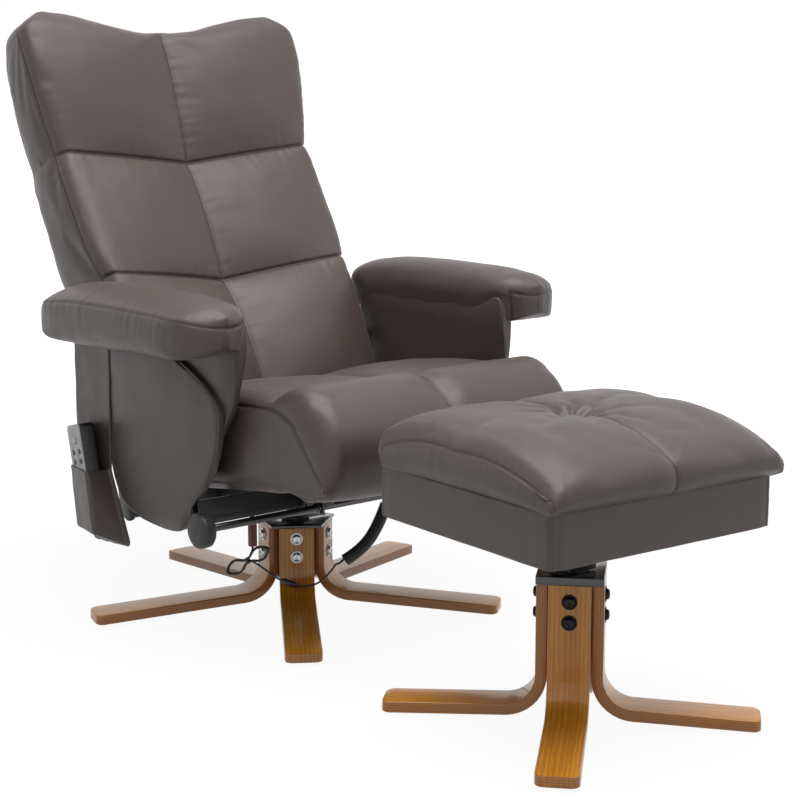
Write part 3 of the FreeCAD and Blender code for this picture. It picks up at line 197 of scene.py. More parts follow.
def oak(name, *colours):
    """Lacquered oak. Its grain attribute holds the board's own lengths: along, across, through the plies."""
    light, dark, edge, glue = map(ink, colours)
    thickness, ply_count = 0.017, 9
    material, nt, shader = blank(name, Coat_Weight=0.5, Coat_Roughness=0.1)
    grain = node(nt, "Attribute", attribute_name="grain").outputs["Vector"]
    which = node(nt, "Attribute", attribute_name="leg").outputs["Fac"]
    steps = {side: maths(nt, "MULTIPLY", which, step) for side, step in enumerate((1.37, 0.21))}
    offset = node(nt, "CombineXYZ", steps).outputs[0]
    at = node(nt, "VectorMath", {0: grain, 1: offset}, operation="ADD").outputs[0]

    def streaks(scale, detail, rough=0.55):
        stretched = node(nt, "Mapping", {"Vector": at, "Scale": scale}).outputs[0]
        return noisy(nt, stretched, 1.0, detail, rough, 0.3)
    fine = streaks((7, 240, 160), 4, 0.7)
    bent = node(nt, "Mapping", {"Vector": at, "Scale": (3.2, 46, 30)}).outputs[0]
    rings = node(nt, "TexWave", {"Vector": bent, "Scale": 1.0, "Distortion": 5.0, "Detail": 3.0,
                                 "Detail Scale": 0.6}, bands_direction="Y", wave_profile="SAW").outputs["Fac"]
    mix = maths(nt, "MULTIPLY", streaks((1.6, 34, 20), 3), 0.55)
    for part, weight in ((rings, 0.22), (fine, 0.4)):
        mix = maths(nt, "MULTIPLY_ADD", part, weight, mix)
    ramp = node(nt, "ValToRGB", {0: mix})
    for stop, place, colour in zip(ramp.color_ramp.elements, (0.36, 0.74), (dark, light)):
        stop.position, stop.color = place, colour
    wood = ramp.outputs[0]
    pores = spread(nt, streaks((26, 900, 500), 2), first=0.28, last=0.42)
    through = node(nt, "SeparateXYZ", {0: grain}).outputs[2]
    plies = maths(nt, "MULTIPLY", through, ply_count / thickness)
    odd = maths(nt, "GREATER_THAN", maths(nt, "MODULO", plies, 2.0), 1.0)
    tone = blend(nt, 0.4, blend(nt, odd, edge, dark), wood)
    tone = blend(nt, spread(nt, maths(nt, "PINGPONG", plies, 1.0), last=0.2), glue, tone)
    depth = maths(nt, "ABSOLUTE", maths(nt, "SUBTRACT", through, thickness / 2))
    outer = spread(nt, depth, first=0.0074, last=0.0080)
    give(shader, {"Base Color": blend(nt, outer, tone, blend(nt, pores, dark, wood)),
                  "Roughness": spread(nt, fine, 0.3, 0.48),
                  "Normal": bumped(nt, (mix, 0.25, 0.0006), (pores, 0.35, 0.0002))})
    return material


def new_tree(name, *sockets):
    """An empty tree of geometry nodes with its named inputs."""
    tree = bpy.data.node_groups.new(name, "GeometryNodeTree")
    for label, kind in (("Geometry", "Geometry"), *sockets, ("Material", "Material")):
        tree.interface.new_socket(label, in_out="INPUT", socket_type="NodeSocket" + kind)
    tree.interface.new_socket("Geometry", in_out="OUTPUT", socket_type="NodeSocketGeometry")
    return tree, tree.nodes.new("NodeGroupInput").outputs


def ended(tree, given, placed):
    """Makes a tree's copies real and gives them their material."""
    real = node(tree, "GeometryNodeRealizeInstances", {0: placed}).outputs[0]
    coated = node(tree, "GeometryNodeSetMaterial", {"Geometry": real, "Material": given["Material"]})
    node(tree, "NodeGroupOutput", {0: coated.outputs[0]})
    return tree


def ring_tree():
    """Places copies of a piece round an upright axis, and numbers them in an attribute."""
    tree, given = new_tree("round the hub", ("Count", "Int"), ("First Turn", "Float"), ("Centre", "Vector"))
    index = node(tree, "GeometryNodeInputIndex").outputs[0]
    points = node(tree, "GeometryNodePoints", {"Count": given["Count"], "Position": given["Centre"]})
    step = maths(tree, "DIVIDE", 2 * math.pi, given["Count"])
    turned = maths(tree, "MULTIPLY_ADD", index, step, given["First Turn"])
    angle = node(tree, "CombineXYZ", {"Z": turned}).outputs[0]
    placed = node(tree, "GeometryNodeInstanceOnPoints",
                  {"Points": points.outputs[0], "Instance": given["Geometry"], "Rotation": angle}).outputs[0]
    mark = node(tree, "GeometryNodeStoreNamedAttribute", {"Name": "leg", "Geometry": placed, "Value": index},
                domain="INSTANCE", data_type="FLOAT").outputs[0]
    return ended(tree, given, mark)


def settled(data, *changes):
    """The mesh that modifiers make of this one. A change is a kind and its settings."""
    holder = bpy.data.objects.new("holder", data)
    bpy.context.scene.collection.objects.link(holder)
    for kind, settings in changes:
        modifier = holder.modifiers.new(kind, kind)
        for name, value in settings.items():
            if hasattr(modifier, name):
                setattr(modifier, name, value)
            else:
                modifier[name] = value
    made = bpy.data.meshes.new_from_object(holder.evaluated_get(bpy.context.evaluated_depsgraph_get()))
    bpy.data.objects.remove(holder)
    return made


def repeated(mesh, tree, sizes):
    """The mesh that a tree makes of this one, with its named inputs set."""
    inputs = {socket.identifier: sizes[socket.name] for socket in tree.interface.items_tree
              if socket.in_out == "INPUT" and socket.name in sizes}
    return settled(mesh, ("NODES", {"node_group": tree, **inputs}))


def worked(mesh, join=0.0, flat=0.0, outward=True):
    """Joins points that lie on each other and faces that lie flat, and turns the faces outward."""
    work = bmesh.new()
    work.from_mesh(mesh)
    if join:
        bmesh.ops.remove_doubles(work, verts=work.verts, dist=join)
    if flat:
        bmesh.ops.dissolve_limit(work, angle_limit=math.radians(flat), verts=work.verts, edges=work.edges)
    if outward:
        bmesh.ops.recalc_face_normals(work, faces=work.faces)
    work.to_mesh(mesh)
    work.free()
    return mesh


def board(apothem, tip_radius, top):
    """One bent board that points straight ahead, with its grain lengths."""
    thickness, width, edge, corner, glide = 0.017, 0.060, 0.0022, 0.012, 0.004
    lean = math.radians(2)
    sweep = math.pi / 2 - lean
    bend = 0.045 + thickness
    centre_r = apothem + bend
    centre_z = glide + (tip_radius - centre_r) * math.tan(lean) + bend / math.cos(lean)
    foot_end = centre_r - bend * math.cos(sweep)
    stations = []    # radius, height, direction up out of the board's inner face, travelled length
    for d in (0, 0.0006, 0.002, 0.0045, 0.008, 0.012, *np.linspace(0.03, tip_radius - foot_end, 12)):
        stations.append((tip_radius - d, glide + d * math.tan(lean), -math.sin(lean), math.cos(lean), d))
    run = stations[-1][4]
    for k in range(1, 15):
        a = sweep * (1 - k / 14)
        out_r, out_z = math.cos(a), math.sin(a)
        stations.append((centre_r - bend * out_r, centre_z - bend * out_z, out_r, out_z,
                         run + bend * (sweep - a)))
    run = stations[-1][4]
    stations += [(apothem, z, 1, 0, run + z - centre_z) for z in np.linspace(centre_z, top, 8)[1:]]
    corners = ((1, 1, 0), (-1, 1, 90), (-1, -1, 180), (1, -1, 270))
    section = [(cx, cz, math.cos(a), math.sin(a)) for cx, cz, first in corners
               for a in np.radians(first + 22.5 * np.arange(5))]
    points, grain = [], []
    for r, z, out_r, out_z, run in stations:
        half, slim = width / 2, 0.0
        if run < corner:
            half += math.sqrt(corner ** 2 - (corner - run) ** 2) - corner
            slim = 0.0012 * (1 - run / corner) ** 2
        for cx, cz, ca, sa in section:
            across = cx * (half - edge) + ca * edge
            deep = thickness / 2 + (cz * (thickness / 2 - edge) + sa * edge) * (1 - slim / (thickness / 2))
            points.append((across, -(r + out_r * deep), z + out_z * deep))
            grain.append((run, across, deep))
    n = len(section)
    faces = [(k * n + i, k * n + (i + 1) % n, (k + 1) * n + (i + 1) % n, (k + 1) * n + i)
             for k in range(len(stations) - 1) for i in range(n)]
    faces += [tuple(range(n))[::-1], tuple(len(points) - n + i for i in range(n))]
    mesh = bpy.data.meshes.new("board")
    mesh.from_pydata(points, [], faces)
    mesh.attributes.new("grain", "FLOAT_VECTOR", "POINT").data.foreach_set("vector", np.array(grain).ravel())
    return worked(mesh)


def ring_of(mesh, finish, count, first, centre):
    return repeated(mesh, hub_ring, {"Count": count, "First Turn": math.radians(first), "Centre": centre,
                                     "Material": finish})


hub_ring = ring_tree()
chair_turn, chair_centre = -34.9, (0, middle, 0)
chair_oak = oak("oak_chair_legs", "f0a428", "a8600a", "8e4a08", "4a2604")
legs = ring_of(board(0.042, 0.362, 0.143), chair_oak, 5, chair_turn, chair_centre)
piece("chair_legs", smooth(legs), "root", chair_oak, "base_legs")

# Hub, top plate, column and glides of the chair base: welded steel under a black gloss enamel, edges broken
# by the press, and black plastic glides pushed up into the feet.


def toned(colour, share):
    """The same colour with more or less light."""
    return tuple(min(1, c * share) for c in ink(colour)[:3]) + (1,)


def black_steel(name, colour, rough, coat):
    """Black enamel on steel, with a faint orange peel and duller patches where hands and dust reach."""
    material, nt, shader = blank(name, Coat_Weight=coat, Coat_Roughness=0.12)
    at = node(nt, "TexCoord").outputs["Object"]
    dust = noisy(nt, at, 14.0, 5.0, 0.65)
    grey = spread(nt, dust, first=0.35, last=0.75)
    give(shader, {"Base Color": blend(nt, grey, ink(colour), toned(colour, 2.4)),
                  "Roughness": spread(nt, dust, rough - 0.1, rough + 0.16),
                  "Normal": bumped(nt, (noisy(nt, at, 900.0, 2.0), 0.12, 0.0003))})
    return material


def moulded(name, colour, rough=0.42, speck=0.25):
    """Moulded plastic with a fine spark-eroded surface."""
    material, nt, shader = blank(name)
    at = node(nt, "TexCoord").outputs["Object"]
    broad = noisy(nt, at, 40.0, 4.0)
    give(shader, {"Base Color": blend(nt, broad, toned(colour, 0.72), ink(colour)),
                  "Roughness": spread(nt, broad, rough - 0.08, rough + 0.1),
                  "Normal": bumped(nt, (noisy(nt, at, 1600.0, 1.0), speck, 0.0002))})
    return material


def wear(finish, *names):
    """Gives a solid that is kept as it is its finish."""
    for name in names:
        solid = frame["nodes"][name]
        if not solid.material_slots:
            solid.data.materials.append(finish)
        for place in solid.material_slots:
            place.material = finish


def dressed(name, finish, bevel=0.0006):
    """A copy of a solid with its flats joined and its edges broken, in the solid's place."""
    mesh = worked(frame["nodes"][name].data.copy(), 0.00001, 0.6, False)
    broken = ("BEVEL", {"width": bevel, "segments": 2, "limit_method": "ANGLE",
                        "angle_limit": math.radians(32)})
    made = settled(mesh, *([broken] if bevel else []))
    return piece(name + "_finished", smooth(made, 30), rides_on[name], finish, name)


gloss_black = black_steel("black_gloss_enamel", "0b0b0c", 0.24, 0.7)
satin_black = black_steel("black_satin_enamel", "111112", 0.42, 0.2)
dressed("base_top_plate", gloss_black, 0.0012)
dressed("base_hub", satin_black)
dressed("swivel_column", satin_black)
wear(moulded("black_nylon", "141414", 0.5), "swivel_bush", "base_glides", "stool_glides")

# Button-head bolts with wide washers, two through each board: bright zinc on the chair, black on the
# footstool. Each head is turned from bar and broached for a hexagon key.


def bright_steel(name, colour, rough):
    """Plated steel with fine turning marks and small dull spots."""
    material, nt, shader = blank(name, Metallic=1.0)
    at = node(nt, "TexCoord").outputs["Object"]
    marks = noisy(nt, at, 700.0, 3.0)
    give(shader, {"Base Color": blend(nt, noisy(nt, at, 120.0, 4.0), toned(colour, 0.7), ink(colour)),
                  "Roughness": spread(nt, marks, rough - 0.06, rough + 0.12),
                  "Normal": bumped(nt, (marks, 0.15, 0.0002))})
    return material


def lathe(rows, sides=40):
    """A solid turned about Y from rows of radius and place; a third number is the count of flats."""
    work = bmesh.new()
    rings = []
    for radius, y, *flats in rows:
        if radius == 0:
            rings.append([work.verts.new((0, y, 0))])
            continue
        ring = []
        for a in 2 * math.pi * np.arange(sides) / sides:
            part = 2 * math.pi / (flats[0] if flats else sides)
            r = radius * math.cos(part / 2) / math.cos((a % part) - part / 2) if flats else radius
            ring.append(work.verts.new((r * math.cos(a), y, r * math.sin(a))))
        rings.append(ring)
    for low, high in zip(rings, rings[1:]):
        for k in range(sides):
            j = (k + 1) % sides
            corners = [low[k % len(low)], low[j % len(low)], high[j % len(high)], high[k % len(high)]]
            work.faces.new(list(dict.fromkeys(corners)))
    bmesh.ops.recalc_face_normals(work, faces=work.faces)
    return work


washer_height = 0.0015
head_rows = [(0, -0.0022), (0.0024, -0.0022, 6), (0.0026, -0.0046, 6), (0.0040, -0.0047), (0.0058, -0.0040),
             (0.0072, -0.0028), (0.0079, -0.0012), (0.0080, 0), (0.0040, 0), (0.0040, 0.0240), (0, 0.0240)]
washer_rows = [(0.0041, 0.0015), (0.0109, 0.0015), (0.0110, 0.0012), (0.0110, 0.0003), (0.0107, 0.0),
               (0.0085, 0.00012), (0.0043, 0.0), (0.0041, 0.0003), (0.0041, 0.0015)]


def bolts(face, heights, count, first, centre, finish, washer_finish, name):
    """Bolt heads and washers of one base, each set as one piece."""
    for rows, shine, tag, solid in ((head_rows, finish, "_heads", "_bolts"),
                                    (washer_rows, washer_finish, "_washers", "_washers")):
        whole = bmesh.new()
        for height in heights:
            one = lathe(rows)
            bmesh.ops.rotate(one, verts=one.verts, matrix=Matrix.Rotation(height * 31, 3, "Y"))
            bmesh.ops.translate(one, verts=one.verts, vec=(0, -(face + washer_height), height))
            part = bpy.data.meshes.new("one")
            one.to_mesh(part)
            one.free()
            whole.from_mesh(part)
        mesh = bpy.data.meshes.new(tag)
        whole.to_mesh(mesh)
        whole.free()
        made = ring_of(worked(mesh, 0.000001, outward=False), shine, count, first, centre)
        piece(name + tag, smooth(made, 30), "root", shine, name + solid)


zinc = bright_steel("bright_zinc", "c9cbce", 0.26)
zinc_washer = bright_steel("zinc_washer", "b4b7bb", 0.34)
bolts(0.059, (0.093, 0.125), 5, chair_turn, chair_centre, zinc, zinc_washer, "base")

# Underframe: rectangular steel tube welded to a plate on the column, under satin black enamel, with the arm
# brackets, slide rails, struts and the boxed electronics bolted to it.
for name in ("underframe", "seat_rails", "arm_brackets", "back_lugs", "drive_lugs"):
    dressed(name, satin_black, 0.0007)
dressed("seat_struts", satin_black, 0)
dressed("clamp_shaft", gloss_black, 0.0004)
wear(satin_black, "back_frame", "recline_pins", "drive_pins")
dressed("control_box", moulded("black_plastic", "17181a", 0.45), 0.001)
wear(moulded("grey_nylon", "55575a", 0.5), "slide_pads")
plywood, nt, shader = blank("poplar_plywood", Roughness=0.7)
at = node(nt, "Mapping", {"Vector": node(nt, "TexCoord").outputs["Object"], "Scale": (70, 6, 300)}).outputs[0]
give(shader, {"Base Color": blend(nt, noisy(nt, at, 1.0, 4.0), ink("9c7a52"), ink("c8a878"))})
wear(plywood, "seat_board", "lid_board", "stool_floor")
wear(moulded("motor_plastic", "2a2b2d", 0.5), "seat_motors", "back_motors")

# Handwheel that clamps the recline: a moulded dark grey knob with shallow ribs round its rim, on the shaft.
dressed("handwheel", moulded("knob_grey", "141516", 0.5, 0.5), 0.0007)

# Cords: a thin lead from the plug under the frame, wound in a tied bow, an inline plug, and the coiled cable
# that goes up to the mechanism. Black PVC over copper, dull where it has been handled.


def in_room(x, y, z):
    """A place measured in millimetres from the chair's axis."""
    return Vector((x, y, z)) / 1000 + Vector((0, middle, 0))


def route(points, steps):
    """The smooth line of a route, as a spline with these points as its control points."""
    line = bpy.data.curves.new("route", "CURVE")
    line.dimensions = "3D"
    spline = line.splines.new("NURBS")
    spline.points.add(len(points) - 1)
    for place, point in zip(spline.points, points):
        place.co = (*point, 1)
    spline.order_u = 3
    spline.use_endpoint_u = True
    spline.resolution_u = steps
    return line


def walked(points):
    """Points read from a route's own spline."""
    return [v.co.copy() for v in settled(route(points, 24)).vertices]


def length_of(points):
    line = walked(points)
    return sum((b - a).length for a, b in zip(line, line[1:]))


def cable(name, points, radius, *stands_for):
    line = route(points, 6)
    line.bevel_depth, line.bevel_resolution, line.use_fill_caps = radius, 3, True
    made = bpy.data.objects.new(name, line)
    bpy.context.scene.collection.objects.link(made)
    line.materials.append(pvc)
    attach(made, "chair_frame")
    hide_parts(*stands_for)
    return made


pvc = moulded("black_pvc", "121213", 0.38, 0.1)
lead_radius, coiled_radius = 0.00175, 0.00178
along = Vector((0.665, -0.548, 0.508)).normalized()
across = Vector((0.693, 0.707, -0.144))
across = (across - along * across.dot(along)).normalized()
upward = along.cross(across)
hank_centre, hank_step = Vector((-122, -29, 99)), 4.2


def in_hank(x, y, layer):
    return in_room(*(hank_centre + along * x + upward * y + across * ((layer - 2) * hank_step)))


plug_foot = Vector((-127, -50, 129))
inline_start, inline_end = Vector((-72, -54, 60)), Vector((-50, -73, 50))
into = (inline_end - inline_start).normalized() * 5.25
hank = [in_room(*plug_foot), in_room(*(plug_foot + Vector((0, 0, -6)))), in_hank(5, 2.3, -1),
        in_hank(-5, 2.3, -1)]
for k, grow in enumerate((0.5, -0.7, 0.9, -0.4)):
    hank += [in_hank(-21 - grow, 13.5 + grow, k), in_hank(-40 + grow, 4, k), in_hank(-40 + grow, -4, k),
             in_hank(-21 - grow, -13.5, k), in_hank(-5, -2.3, k), in_hank(5, -2.3, k)]
    if k < 3:
        hank += [in_hank(21 + grow, -13.5 - grow, k), in_hank(40 - grow, -4, k), in_hank(40 - grow, 4, k),
                 in_hank(21, 13.5 + grow, k), in_hank(5, 2.3, k), in_hank(-5, 2.3, k + 0.3)]
hank += [in_room(*(inline_start - into)), in_room(*inline_start)]
lead = cable("lead_with_bow", hank, lead_radius, "lead_hank")
for name, bevel in (("cord_tie", 0.0004), ("inline_plug", 0.0004), ("cord_gland", 0.0005)):
    dressed(name, pvc, bevel)
dressed("power_plug", moulded("red_brown_plastic", "5a2018", 0.4), 0.0006)
length_of(hank)

tail = [in_room(*inline_end), in_room(*(inline_end + into)), in_room(-24, -94, 52), in_room(-6, -108, 75),
        in_room(1, -112, 88)]
axis = walked([in_room(5, -115.5, 88), in_room(37, -139, 110), in_room(71, -148, 158),
               in_room(92, -144, 197)])
travelled = np.concatenate([[0], np.cumsum([(b - a).length for a, b in zip(axis, axis[1:])])])
turns, per_turn, run_in, curl, run_out = 38, 12, 0.0125, 0.0094, 0.0045
beside = Vector((0, 0, 1)).cross(axis[1] - axis[0]).normalized()
coil = [axis[0]]
for k in range(turns * per_turn + 1):
    reach = run_in + (travelled[-1] - 2 * run_in) * k / (turns * per_turn)
    i = max(1, min(len(axis) - 1, int(np.searchsorted(travelled, reach))))
    heading = (axis[i] - axis[i - 1]).normalized()
    here = axis[i - 1] + heading * (reach - travelled[i - 1])
    beside = (beside - heading * beside.dot(heading)).normalized()
    a = 2 * math.pi * k / per_turn
    coil.append(here + (beside * math.cos(a) + heading.cross(beside) * math.sin(a)) * curl)
coil += [axis[-1] - (axis[-1] - axis[-2]).normalized() * run_out, axis[-1]]
curly = cable("coiled_cable", tail + coil, coiled_radius, "lead_end", "curly_cord")
length_of(tail + coil)

# Seat cushion: foam on a plywood board under one sewn cover. A roll runs along the front edge, split in the
# middle by a short seam, and a curved seam joins the roll to the flat side panels.


def leather(name, colour, worn, deep):
    """Soft coated leather: fine pebbles, small creases, lighter where it is stretched and rubbed, and painted
    shade in a near-black line along each seam.
    """
    material, nt, shader = blank(name, Specular_IOR_Level=0.5, Sheen_Weight=0.12, Sheen_Roughness=0.4)
    at = node(nt, "TexCoord").outputs["Object"]
    cells = node(nt, "TexVoronoi", {"Vector": at, "Scale": 620.0}, feature="DISTANCE_TO_EDGE").outputs[0]
    soft = noisy(nt, at, 22.0, 3.0)
    rub = node(nt, "Attribute", attribute_name="rub").outputs["Fac"]
    seam_shade = node(nt, "Attribute", attribute_name="seam_shade").outputs["Fac"]
    mix = maths(nt, "MULTIPLY_ADD", noisy(nt, at, 5.0, 3.0, 0.6), 0.9, -0.2)
    mix = node(nt, "Math", {0: rub, 1: 0.5, 2: mix}, operation="MULTIPLY_ADD", use_clamp=True).outputs[0]
    # Painted shade: the seam mask blends the last colour, near black, into each seam's groove.
    tone = blend(nt, seam_shade, blend(nt, mix, ink(colour), ink(worn)), ink(deep))
    give(shader, {"Base Color": tone, "Roughness": spread(nt, soft, 0.36, 0.5),
                  "Normal": bumped(nt, (spread(nt, cells, last=0.16), 0.2, 0.00025),
                                   (noisy(nt, at, 420.0, 4.0, 0.6), 0.22, 0.0003), (soft, 0.18, 0.002))})
    return material


def bow(a, b, c, count):
    """Points after a of the arc from a by way of b to c, in a plane."""
    a, b, c = (np.array(p, float) for p in (a, b, c))
    d = 2 * (a[0] * (b[1] - c[1]) + b[0] * (c[1] - a[1]) + c[0] * (a[1] - b[1]))
    if abs(d) < 1e-6:
        return [a + (c - a) * k / count for k in range(1, count + 1)]
    sa, sb, sc = a @ a, b @ b, c @ c
    o = np.array([sa * (b[1] - c[1]) + sb * (c[1] - a[1]) + sc * (a[1] - b[1]),
                  sa * (c[0] - b[0]) + sb * (a[0] - c[0]) + sc * (b[0] - a[0])]) / d
    start, mid, end = (math.atan2(*(p - o)[::-1]) for p in (a, b, c))
    full = (end - start) % (2 * math.pi)
    if (mid - start) % (2 * math.pi) > full:
        full -= 2 * math.pi
    r = np.linalg.norm(a - o)
    return [o + r * np.array([math.cos(start + full * k / count), math.sin(start + full * k / count)])
            for k in range(1, count + 1)]


def traced(table, counts, put=lambda *place: place):
    """A closed outline of evenly many points from a table of points and arcs, each moved by a function."""
    here = put(*table[0])
    line = []
    for entry, count in zip(list(table[1:]) + [table[0]], counts):
        if isinstance(entry[0], tuple):
            mid, end = put(*entry[0]), put(*entry[1])
            line += bow(here, mid, end, count)
        else:
            end = put(*entry)
            a, b = np.array(here), np.array(end)
            line += [a + (b - a) * k / count for k in range(1, count + 1)]
        here = end
    return np.roll(np.array(line), 1, axis=0)


def eased(marks, step, crowd=0.5):
    """Places from mark to mark, closer together next to each mark."""
    places = [marks[0]]
    for a, b in zip(marks, marks[1:]):
        count = max(2, round(abs(b - a) / step))
        for k in range(1, count + 1):
            t = k / count
            places.append(a + (b - a) * (t * (1 - crowd) + (0.5 - 0.5 * math.cos(math.pi * t)) * crowd))
    return np.array(places)


def between(x, xs, ys):
    """A smooth value between the rows of a table."""
    xs, ys = np.array(xs, float), np.array(ys, float)
    slopes = np.gradient(ys, xs)
    flat = np.diff(ys) / np.diff(xs)
    for k in range(1, len(xs) - 1):
        if flat[k - 1] * flat[k] <= 0:
            slopes[k] = 0
    k = int(np.clip(np.searchsorted(xs, x) - 1, 0, len(xs) - 2))
    h = xs[k + 1] - xs[k]
    t = min(1, max(0, (x - xs[k]) / h))
    return float(ys[k] * (1 + 2 * t) * (1 - t) ** 2 + slopes[k] * h * t * (1 - t) ** 2
                 + ys[k + 1] * t * t * (3 - 2 * t) - slopes[k + 1] * h * t * t * (1 - t))


def tube_faces(cuts, m, closed=False):
    """Faces between loops of m points. The last loop can join the first."""
    return [(k * m + i, k * m + (i + 1) % m, (k + 1) % cuts * m + (i + 1) % m, (k + 1) % cuts * m + i)
            for k in range(cuts if closed else cuts - 1) for i in range(m)]


class Skin:
    """A closed skin over cuts through a cushion: every cut is a loop of points with four sides."""

    def __init__(self, loops, wide, high, swell=0.0, relax=0):
        loops = np.array(loops)
        self.cuts, self.around = cuts, m = loops.shape[:2]
        self.points = loops.reshape(-1, 3)
        self.faces = tube_faces(cuts, m)
        for k, inner in ((0, 1), (cuts - 1, cuts - 2)):
            out = loops[k].mean(0) - loops[inner].mean(0)
            out = out / (np.linalg.norm(out) + 1e-12)
            self.close(k, loops[k], out * swell, wide, high, relax)

    def close(self, k, loop, out, wide, high, relax):
        """Fills one end with a grid between its four sides, evened out and domed."""
        m = self.around
        i, j = np.arange(wide + 1), np.arange(high + 1)
        u, v = (i / wide)[:, None, None], (j / high)[None, :, None]
        s1, s2 = loop[:wide + 1], loop[wide:wide + high + 1]
        s3, s4 = loop[wide + high:m - high + 1][::-1], np.vstack([loop[m - high:], loop[:1]])[::-1]
        patch = ((1 - v) * s1[:, None] + v * s3[:, None] + (1 - u) * s4[None] + u * s2[None]
                 - (1 - u) * (1 - v) * s1[0] - u * (1 - v) * s1[-1] - (1 - u) * v * s3[0] - u * v * s3[-1])
        for _ in range(relax):
            patch[1:-1, 1:-1] = (patch[:-2, 1:-1] + patch[2:, 1:-1] + patch[1:-1, :-2] + patch[1:-1, 2:]) / 4
        patch = patch + out * (16 * u * (1 - u) * v * (1 - v)) ** 0.6
        grid = np.empty((wide + 1, high + 1), int)
        grid[1:-1, 1:-1] = len(self.points) + np.arange((wide - 1) * (high - 1)).reshape(wide - 1, high - 1)
        grid[:, 0], grid[wide] = k * m + i, k * m + wide + j
        grid[:, high], grid[0] = k * m + m - high - i, k * m + (m - j) % m
        self.points = np.vstack([self.points, patch[1:-1, 1:-1].reshape(-1, 3)])
        for a in range(wide):
            for b in range(high):
                quad = tuple(int(n) for n in (grid[a, b], grid[a + 1, b], grid[a + 1, b + 1], grid[a, b + 1]))
                self.faces.append(quad if k else quad[::-1])

    def seam(self, cut=None, place=None):
        """The numbers of the points along one cut, or along one place of every cut."""
        if cut is not None:
            return [cut * self.around + i for i in (place if place is not None else range(self.around))]
        return [k * self.around + place for k in range(self.cuts)]


def stuffed(mesh, seams, swell, cap):
    """Blows the cover up from inside between its seams, as its filling does, and holds the seams."""
    before = np.array([v.co for v in mesh.vertices])
    holder = bpy.data.objects.new("holder", mesh)
    bpy.context.scene.collection.objects.link(holder)
    held = holder.vertex_groups.new(name="held")
    for seam in seams:
        held.add([int(i) for i in seam], 1.0, "REPLACE")
    settings = holder.modifiers.new("cloth", "CLOTH").settings
    settings.quality, settings.mass = 4, 0.3
    settings.tension_stiffness, settings.compression_stiffness, settings.bending_stiffness = 30, 30, 0.6
    settings.use_pressure, settings.uniform_pressure_force = True, swell
    settings.vertex_group_mass, settings.pin_stiffness = "held", 1.0
    settings.effector_weights.gravity = 0
    for step in range(1, 11):
        bpy.context.scene.frame_set(step)
    shown = holder.evaluated_get(bpy.context.evaluated_depsgraph_get())
    move = np.array([v.co for v in shown.data.vertices]) - before
    move *= np.minimum(1, cap / np.maximum(np.linalg.norm(move, axis=1), 1e-9))[:, None]
    bpy.context.scene.frame_set(1)
    holder.modifiers.clear()
    bpy.data.objects.remove(holder)
    mesh.vertices.foreach_set("co", (before + move).ravel())


def stitches(name, surface, lines, body):
    """A row of stitches beside each seam, on the finished leather."""
    away, proud, spacing = 0.0046, 0.0002, 0.0052
    tree = BVHTree.FromPolygons([v.co for v in surface.vertices],
                                [tuple(f.vertices) for f in surface.polygons])
    points, edges = [], []
    for line in lines:
        first = len(points)
        for a, b in line:
            q, n, _, _ = tree.find_nearest(a + (b - a).normalized() * away)
            points.append(q + n * proud)
        edges += [(i, i + 1) for i in range(first, len(points) - 1)]
    track = bpy.data.meshes.new("track")
    track.from_pydata(points, edges, [])
    row = repeated(track, stitch_row, {"Spacing": spacing, "Thread": one_stitch, "Material": thread})
    piece(name + "_stitches", smooth(row), body, thread)


def upholstered(name, skin, seams, body, stands_for, swell=4.0, cap=0.008, crease=0.0026, width=0.0026,
                pucker=0.0011, seed=1, fill=0.75, shape=None, waves=0.0006, stitched=()):
    """A stuffed cover with its seams drawn in, painted shade along them, small puckers beside them and a
    slight unevenness all over.
    """
    mesh = bpy.data.meshes.new("cover")
    mesh.from_pydata([tuple(p) for p in skin.points], [], skin.faces)
    worked(mesh)
    if swell:
        stuffed(mesh, seams, swell, cap)
    at = [v.co.copy() for v in mesh.vertices]
    made = settled(mesh, ("SUBSURF", {"levels": 1, "render_levels": 1}))
    marks, spacing, reach = [], 0.0015, 0.022
    for seam in seams:
        run = 0.0
        for a, b in ((at[i], at[j]) for i, j in zip(seam, seam[1:])):
            long = (b - a).length
            count = max(1, int(long / spacing))
            marks += [(a.lerp(b, k / count), run + long * k / count) for k in range(count)]
            run += long
    near = KDTree(len(marks))
    for i, (point, run) in enumerate(marks):
        near.insert(point, i)
    near.balance()
    seam_shade, rub, moved = [], [], []
    for v in made.vertices:
        p, n = v.co, v.normal
        _, j, d = near.find(p)
        run = marks[j][1]
        lift = waves * noise.noise(p * 26 + Vector((seed, 0, 0)))
        lift -= crease * math.exp(-(d / width) ** 2) + crease * 0.5 * math.exp(-d / (width * 2.2))
        close = math.exp(-d / reach) * (1 - math.exp(-d / 0.004))
        ripple = noise.noise(Vector((run * 95 + seed * 3.1, d * 16, seed)))
        gather = 0.35 + 0.65 * max(0, noise.noise(Vector((run * 9, seed * 7.7, 2.0))) + 0.35)
        lift += pucker * close * ripple * gather * 2 + (shape(p, n) if shape else 0)
        # Painted shade: a narrow mask along each seam line, where the groove would lie in shadow.
        seam_shade.append(math.exp(-(d / (width * 0.6)) ** 2))
        rub.append(math.exp(-((d - 0.009) / 0.006) ** 2) * 0.5)
        moved.append(p + n * lift)
    made.vertices.foreach_set("co", np.array(moved).ravel())
    for tag, values in (("seam_shade", seam_shade), ("rub", rub)):
        made.attributes.new(tag, "FLOAT", "POINT").data.foreach_set("value", values)
    made.shade_smooth()
    cover = piece(name, made, body, hide, *stands_for)
    if stitched:
        stitches(name, made, [[(at[i], at[j]) for i, j in zip(*pair)] for pair in stitched], body)


